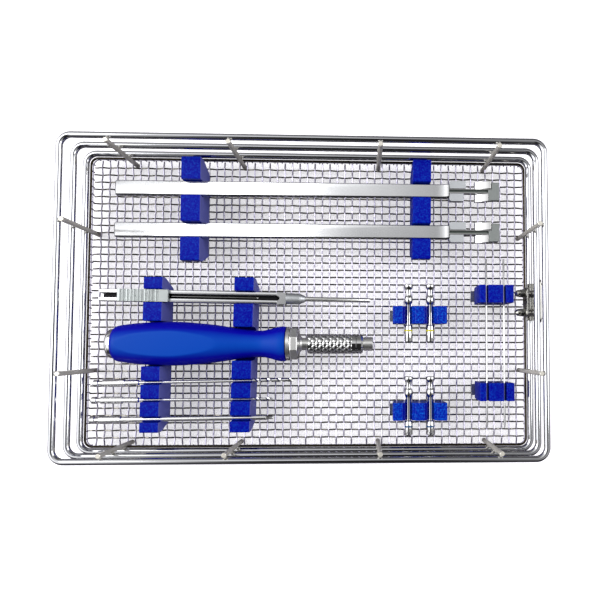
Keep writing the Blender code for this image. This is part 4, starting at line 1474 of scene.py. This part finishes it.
@dataclass
class Driver:
    """The driver: end cap, silicone grip, faceted collar, neck, coupling nose and knurled sleeve."""

    flat_height: float = 11.6 * MM
    core: float = 4.0 * MM
    spindle: float = 4.4 * MM
    body: str = "driver"
    grip: Box = field(init=False)
    sleeve: Box = field(init=False)
    place: Matrix = field(init=False)

    def __post_init__(self) -> None:
        """Reads where the driver's axis lies."""
        self.grip = Box.of("driver_grip")
        self.sleeve = Box.of("driver_sleeve")
        self.place = Matrix.Translation((0, self.grip.centre.y, self.grip.centre.z))

    def build(self) -> None:
        """Builds every piece along the driver's axis."""
        self.build_cap()
        self.build_grip()
        self.build_core()
        self.build_sleeve()

    def build_cap(self) -> None:
        """The domed end cap with a turned step."""
        box = Box.of("driver_cap")
        end = (box.low.x, 0)
        inner = self.core + 0.3 * MM
        profile = offsets(end, (0, 0.4), (0, 7.2), (0.2, 8.0), (0.7, 8.7), (1.6, 9.2), (2.6, 9.45))
        profile += [(box.high.x, 9.6 * MM), (box.high.x, inner), (end[0] + 1.2 * MM, inner)]
        made = Shape().turned(profile + offsets(end, (1.2, 0.4)), 64, closed=True)
        made.join(Shape().turned(offsets(end, (0.05, 0.5), (1.1, 0.5)), 24))
        cap = made.moved(self.place).build("driver_end_cap", Finish.POLISHED_TOOL)
        settle(cap, self.body, ["driver_cap"])

    def build_grip(self) -> None:
        """The barrel grip, with an oval flat on its belly and a flared collar end."""
        a, b = self.grip.low.x, self.grip.high.x
        stations = [(0.0, 9.9), (0.008, 10.7), (0.026, 11.5), (0.085, 12.4), (0.144, 13.1), (0.26, 13.8)]
        stations += [(0.378, 13.85), (0.495, 12.95), (0.58, 12.05), (0.67, 10.6), (0.76, 9.1), (0.847, 8.35)]
        stations += [(0.905, 9.4), (0.955, 10.9), (0.985, 11.2), (1.0, 10.9)]
        outer = smooth_profile([(a + (b - a) * t, r * MM) for t, r in stations], 8)
        bore = self.core + 0.3 * MM

        def flatten(_: float, y: float, z: float) -> Pair:
            """Cuts the top of the belly flat, with a soft edge."""
            over = z - self.flat_height
            return (y, z if over < 0 else self.flat_height + over * 0.12)

        made = Shape().turned(outer + [(b, bore), (a, bore)], 128, closed=True, section=flatten)
        # Its finish paints faces turned up paler as a highlight, palest on the oval flat
        grip = made.moved(self.place).build("driver_grip_silicone", Finish.GRIP_SILICONE)
        settle(grip, self.body, ["driver_grip"])

    def build_core(self) -> None:
        """The collar with its facets, the waisted neck and the coupling nose."""
        box = Box.of("driver_core")
        c = self.core
        nose = self.spindle / MM
        at = (self.grip.high.x + 0.3 * MM, 0)
        profile = [(box.low.x, c), (at[0], c)]
        profile += offsets(at, (0, 10.3), (0.3, 10.7), (2.2, 10.7), (2.4, 9.5), (2.8, 9.5), (7.6, 9.0))
        profile += smooth_profile(offsets(at, (8.2, 6.1), (9.0, 4.9), (10.2, 3.8)), 6)
        profile += offsets((self.sleeve.low.x, 0), (0.8, 3.7), (1.2, nose))
        profile += offsets((self.sleeve.high.x, 0), (0.2, nose), (0.3, 4.1), (0.8, 4.1), (0.9, nose))
        profile += offsets((box.high.x, 0), (-0.3, nose), (0, 4.1), (0, 2.6), (-3.5, 2.5))
        core = Shape().turned(profile, 64).moved(self.place).build("driver_core_turned", Finish.TURNED_RING)
        settle(core, self.body, ["driver_core"])
        rings = []
        for x, r in offsets(at, (2.7, 10.3), (3.2, 10.8), (7.2, 10.8), (7.8, 10.2)):
            rings.append([Vector((x, y, z)) for y, z in arc((0.0, 0.0), r, 22.5, 337.5, 7)])
        nut = Shape().loft(rings).moved(self.place)
        settle(nut.build("driver_collar_facets", Finish.TURNED_RING, 0.3 * MM, 3), self.body)

    def build_sleeve(self) -> None:
        """The locking sleeve: a plain turned ring at each end and raised pads between."""
        box = self.sleeve
        radius = box.size.z / 2
        bore = self.spindle + 0.3 * MM
        wall = [(box.low.x, bore)]
        wall += offsets((box.low.x, radius), (0, -1.0), (0.4, -0.45), (1.0, -0.45))
        wall += offsets((box.high.x, radius), (-7.4, -0.75), (-7.0, -0.2), (-4.6, -0.2))
        wall += offsets((box.high.x, radius), (-4.3, -0.6), (-3.9, -0.2), (-0.9, -0.2), (0, -1.0))
        wall.append((box.high.x, bore))
        made = Shape().turned(wall, 72, closed=True).moved(self.place)
        ring = made.build("driver_sleeve_turned", Finish.POLISHED_TOOL)
        settle(ring, "driver_sleeve", ["driver_sleeve"])
        along = 12
        step = (box.size.x - 8.4 * MM) / along
        pads = knurl_grower().grow(
            "driver_sleeve_pads",
            Finish.POLISHED_TOOL,
            Around=9,
            Along=along,
            Radius=radius - 0.95 * MM,
            Step=step,
            Pad=(step * 0.98, 1.75 * MM, 0.85 * MM),
        )
        pads.data.transform(Matrix.Translation((box.low.x + 1.2 * MM, 0, 0)) @ self.place)
        settle(pads, "driver_sleeve")


# ---------------------------------------------------------------- bits, guides and pins


class Tip(Enum):
    """How a bit ends."""

    TWIST = "twist"
    HEXAGON = "hexagon"


@dataclass
class Bit:
    """A drill or a hexagon driver on a notched quick-coupling shank."""

    name: str
    tip: Tip
    shoulder: float
    shoulder_end: float
    shaft: float
    cut_start: float
    cut_radius: float
    shank: float = 2.25 * MM

    def build(self) -> None:
        """Builds the shank and shaft as one turned piece, and the working end as another."""
        start, end = axis_of(self.name, 0)
        length = (end - start).length
        place = placing(start, end)
        s = self.shank / MM
        profile = offsets((0, 0), (0, s - 0.5), (0.5, s), (3.0, s), (3.5, 1.6), (5.4, 1.6), (6.0, s))
        profile += [(19.2 * MM, self.shank), (19.8 * MM, self.shoulder), (self.shoulder_end, self.shoulder)]
        profile += [(self.shoulder_end + 0.7 * MM, self.shaft), (self.cut_start + 0.3 * MM, self.shaft)]

        def with_flat(x: float, y: float, z: float) -> Pair:
            """Mills the drive flat on the shank's side."""
            return (y, max(z, -1.4 * MM) if x < 3.2 * MM else z)

        made = Shape().turned(profile, 40, section=with_flat)
        if self.tip is Tip.TWIST:
            self.twist(made, length)
        else:
            self.hexagon(made, length)
        bit = made.moved(place).build(f"{self.name}_turned", Finish.SATIN_TOOL)
        settle(bit, self.name, [self.name])

    def twist(self, made: Shape, length: float) -> None:
        """Two spiral flutes that end in a point."""
        steps = 70
        start = self.cut_start
        lead = 14.0 * MM
        rings = []
        for i in range(steps + 1):
            x = start + (length - start) * i / steps
            turn = 2 * math.pi * (x - start) / lead
            near = min(1.0, (x - start) / (2.5 * MM))
            taper = min(1.0, max(0.12, (length - x) / (1.3 * MM)))
            ring = []
            for j in range(24):
                angle = 2 * math.pi * j / 24
                hollow = 0.46 * near * max(0.0, math.cos(2 * angle)) ** 0.8
                r = self.cut_radius * (1 - hollow) * taper
                ring.append(Vector((x, r * math.cos(angle + turn), r * math.sin(angle + turn))))
            rings.append(ring)
        made.loft(rings)

    def hexagon(self, made: Shape, length: float) -> None:
        """A short hexagonal tip after a cone."""
        start = self.cut_start
        rings = []
        for x, r in (
            (start, self.shaft),
            (start + 1.6 * MM, self.cut_radius),
            (length - 0.3 * MM, self.cut_radius),
            (length, 0.8 * self.cut_radius),
        ):
            rings.append([Vector((x, y, z)) for y, z in arc((0.0, 0.0), r, 0, 300, 5)])
        made.loft(rings)


@dataclass
class DrillGuide:
    """A turned drill guide with a funnel head, a collar, a slim neck, a barrel and a colour band."""

    number: int
    band: Finish
    barrel: float

    def build(self) -> None:
        """Builds the turned guide and its band."""
        node = f"drill_guide_{self.number}"
        low, high = axis_of(node, 1)
        place = placing(high, low)
        stations = [(0.0, 2.35), (0.35, 2.85), (1.9, 2.95), (3.4, 2.1), (4.4, 1.85), (7.2, 1.85), (8.6, 2.5)]
        stations += [(10.2, 2.8), (11.6, 2.6), (13.6, 1.7)]
        head = smooth_profile(offsets((0, 0), *stations), 5)
        foot = offsets((self.barrel, 0), (-0.5, 1.7), (0, 2.5), (0.3, 2.65))
        foot += offsets((0, 0), (37.2, 2.65), (37.8, 2.4), (38.0, 2.2), (38.0, 1.25), (36.0, 1.2))
        made = Shape().turned(offsets((0, 0), (2.4, 1.1), (0, 2.0)) + head + foot, 40).moved(place)
        guide = made.build(f"{node}_turned", Finish.POLISHED_TOOL)
        settle(guide, node, [node])
        ring = offsets((self.barrel, 0), (2.9, 2.55), (2.9, 2.7), (4.0, 2.7), (4.0, 2.55))
        band = Shape().turned(ring, 40, closed=True).moved(place)
        settle(band.build(f"{node}_band", self.band), node)


@dataclass
class GuidePin:
    """A thin guide pin with a three-sided point."""

    number: int

    def build(self) -> None:
        """Builds the pin."""
        node = f"guide_pin_{self.number}"
        low, high = axis_of(node, 1)
        length = (high - low).length
        r = Box.of(node).size.z / 2
        point = 3.2 * MM

        def trocar(x: float, y: float, z: float) -> Pair:
            """Grinds three faces on the point."""
            if x < length - point:
                return (y, z)
            share = 1 - (x - (length - point)) / point * 0.9
            angle = math.atan2(z, y)
            facet = math.cos(math.pi / 3) / math.cos((angle % (2 * math.pi / 3)) - math.pi / 3)
            reach = min(math.hypot(y, z), r * max(share, 0.08) * (0.6 + 0.8 * facet))
            return (reach * math.cos(angle), reach * math.sin(angle))

        profile = [(0.0, r * 0.7), (0.3 * MM, r)]
        profile += [(length - point + point * i / 6, r) for i in range(7)]
        made = Shape().turned(profile, 24, section=trocar).moved(placing(high, low))
        settle(made.build(f"{node}_ground", Finish.POLISHED_TOOL), node, [node])


# ---------------------------------------------------------------- studio


@dataclass
class Studio:
    """Pale floor, soft light and the camera."""

    lens: float = 34.24
    shift: tuple[float, float] = (-0.1381, 0.0347)
    eye: tuple[float, float, float] = (0.03147, -0.02922, 0.39488)
    tilt_deg: tuple[float, float, float] = (2.4934, -2.2846, 0.0782)
    floor_size: float = 6.0
    # The floor's painted glow, seen only by the camera: outside the tray and under it
    floor_glow: float = 0.6
    glow_under: float = 0.45
    # The grey the floor shows to all but camera rays: painted dark reflections in the steel and painted
    # shade under the pieces
    reflected_floor_grey: str = "#7E7A82"
    left_wall: float = 1.7
    right_wall: float = 0.5
    back_wall: float = 0.25

    def build(self) -> None:
        """Sets up the whole studio."""
        self.camera()
        self.floor()
        self.world()
        self.lamps()
        bpy.context.scene.view_settings.view_transform = "Standard"

    def camera(self) -> None:
        """A camera looking almost straight down."""
        data = bpy.data.cameras.new("camera")
        data.lens = self.lens
        data.sensor_width = 36.0
        data.shift_x, data.shift_y = self.shift
        data.clip_start = 0.01
        camera = bpy.data.objects.new("camera", data)
        camera.location = self.eye
        camera.rotation_euler = Euler([math.radians(a) for a in self.tilt_deg], "XYZ")
        bpy.context.scene.collection.objects.link(camera)
        bpy.context.scene.camera = camera

    def floor(self) -> None:
        """White to the camera, with a painted glow that is weaker under the tray; every other ray sees it
        grey, which paints dark reflections into the steel and shade under the pieces.
        """
        half = self.floor_size / 2
        mesh = bpy.data.meshes.new("studio_floor")
        corners = [(-half, -half, 0), (half, -half, 0), (half, half, 0), (-half, half, 0)]
        mesh.from_pydata(corners, [], [(0, 1, 2, 3)])
        made = bpy.data.materials.new("white_board")
        made.use_nodes = True
        shader = made.node_tree.nodes["Principled BSDF"]
        # Camera rays see the white board; reflections and bounced light see the grey, as painted dark
        # reflections and shade
        seen = add_node(made.node_tree, "ShaderNodeLightPath")
        tint = add_node(
            made.node_tree,
            "ShaderNodeMix",
            {"data_type": "RGBA"},
            {"Factor": seen.outputs["Is Camera Ray"], "A": linear(self.reflected_floor_grey), "B": linear("#F3F1F8")},
        )
        made.node_tree.links.new(tint.outputs["Result"], shader.inputs["Base Color"])
        shader.inputs["Roughness"].default_value = 0.9
        shader.inputs["Specular IOR Level"].default_value = 0.1
        shader.inputs["Emission Color"].default_value = (1.0, 1.0, 1.0, 1.0)
        made.node_tree.links.new(self.glow(made.node_tree, seen), shader.inputs["Emission Strength"])
        mesh.materials.append(made)
        floor = bpy.data.objects.new("studio_floor", mesh)
        floor.location.z = -0.2 * MM
        bpy.context.scene.collection.objects.link(floor)

    def glow(self, tree: bpy.types.NodeTree, seen: bpy.types.Node) -> bpy.types.NodeSocket:
        """How much painted light the floor glows with: fully outside the tray, little under it, and not in
        the steel.

        Args:
            tree: The floor's node tree.
            seen: Its light path node.

        Returns:
            The strength.
        """
        place = add_node(tree, "ShaderNodeTexCoord")
        parts = add_node(tree, "ShaderNodeSeparateXYZ", {}, {"Vector": place.outputs["Object"]})
        low, high = CAD_BOX
        levels = []
        for axis, reach in (("X", (high[0] - low[0]) / 2), ("Y", (high[1] - low[1]) / 2)):
            far = add_node(tree, "ShaderNodeMath", {"operation": "ABSOLUTE"}, {0: parts.outputs[axis]})
            inputs = {"Value": far.outputs[0], "From Min": reach - 2 * MM, "From Max": reach + 4 * MM}
            inputs |= {"To Min": self.glow_under, "To Max": self.floor_glow}
            levels.append(add_node(tree, "ShaderNodeMapRange", {"interpolation_type": "SMOOTHSTEP"}, inputs))
        most = add_node(
            tree,
            "ShaderNodeMath",
            {"operation": "MAXIMUM"},
            {0: levels[0].outputs[0], 1: levels[1].outputs[0]},
        )
        shown = {0: most.outputs[0], 1: seen.outputs["Is Camera Ray"]}
        return add_node(tree, "ShaderNodeMath", {"operation": "MULTIPLY"}, shown).outputs[0]

    def world(self) -> None:
        """A white tent: brightest on the left, greyer at the back, open and dark in front and overhead."""
        world = bpy.data.worlds.new("tent")
        bpy.context.scene.world = world
        world.use_nodes = True
        tree = world.node_tree

        def step(operation: str, a: Any, b: Any = 0.0, clamp: bool = False) -> bpy.types.NodeSocket:
            """One step of arithmetic on the direction."""
            settings = {"operation": operation, "use_clamp": clamp}
            return add_node(tree, "ShaderNodeMath", settings, {0: a, 1: b}).outputs[0]

        def ramp(value: Any, low: float, high: float, start: float, end: float) -> bpy.types.NodeSocket:
            """A smooth change from one level to another."""
            inputs = {"Value": value, "From Min": low, "From Max": high, "To Min": start, "To Max": end}
            settings = {"interpolation_type": "SMOOTHSTEP"}
            return add_node(tree, "ShaderNodeMapRange", settings, inputs).outputs["Result"]

        place = add_node(tree, "ShaderNodeTexCoord")
        parts = add_node(tree, "ShaderNodeSeparateXYZ", {}, {"Vector": place.outputs["Generated"]})
        x, y = parts.outputs["X"], parts.outputs["Y"]
        sides = ramp(x, -0.5, 0.3, self.left_wall, self.right_wall)
        back = ramp(y, 0.25, 0.9, 1.0, self.back_wall)
        walls = step("MULTIPLY", sides, back)
        across = step("ABSOLUTE", step("ADD", x, 0.04))
        gap_across = ramp(across, 0.12, 0.50, 1.0, 0.0)
        gap_ahead = ramp(y, -0.02, 0.22, 1.0, 0.0)
        gap = step("MULTIPLY", gap_across, gap_ahead)
        front = ramp(y, -0.72, -0.40, 1.0, 0.0)
        dark = step("MAXIMUM", gap, front)
        light = step("MULTIPLY", walls, step("SUBTRACT", 1.0, step("MULTIPLY", dark, 0.97)))
        background = tree.nodes["Background"]
        tree.links.new(light, background.inputs["Color"])
        background.inputs["Strength"].default_value = 1.0

    def lamps(self) -> None:
        """Two large soft boxes above, left and right of the tray."""
        for name, x, y, size, power in (("left", -0.75, 0.2, 0.7, 5.2), ("right", 0.8, 0.15, 0.7, 5.2)):
            data = bpy.data.lights.new(f"soft_box_{name}", "AREA")
            data.size = size
            data.energy = power
            lamp = bpy.data.objects.new(f"soft_box_{name}", data)
            lamp.location = (x, y, 0.7)
            lamp.rotation_euler = Vector((x, y, 0.7)).to_track_quat("Z", "Y").to_euler()
            bpy.context.scene.collection.objects.link(lamp)


def main() -> None:
    """Builds the studio, the tray and the instruments in order."""
    logging.basicConfig(level=logging.INFO, format="%(message)s")
    Studio().build()
    Basket().build()
    WovenFloor().build()
    build_holders()
    Latch().build()
    for number in (1, 2):
        Lever(number).build()
    DepthGauge().build()
    Driver().build()
    Bit("drill_1", Tip.TWIST, 1.75 * MM, 28.0 * MM, 1.0 * MM, 99.7 * MM, 1.25 * MM).build()
    Bit("drill_2", Tip.TWIST, 1.75 * MM, 29.0 * MM, 0.8 * MM, 100.7 * MM, 1.0 * MM).build()
    Bit("hex_bit", Tip.HEXAGON, 1.6 * MM, 30.0 * MM, 1.6 * MM, 109.5 * MM, 1.1 * MM).build()
    for number in (1, 2):
        DrillGuide(number, Finish.YELLOW_BAND, 27.0 * MM).build()
    for number in (3, 4):
        DrillGuide(number, Finish.BLUE_BAND, 28.8 * MM).build()
    for number in (1, 2):
        GuidePin(number).build()


if __name__ == "__main__":
    main()
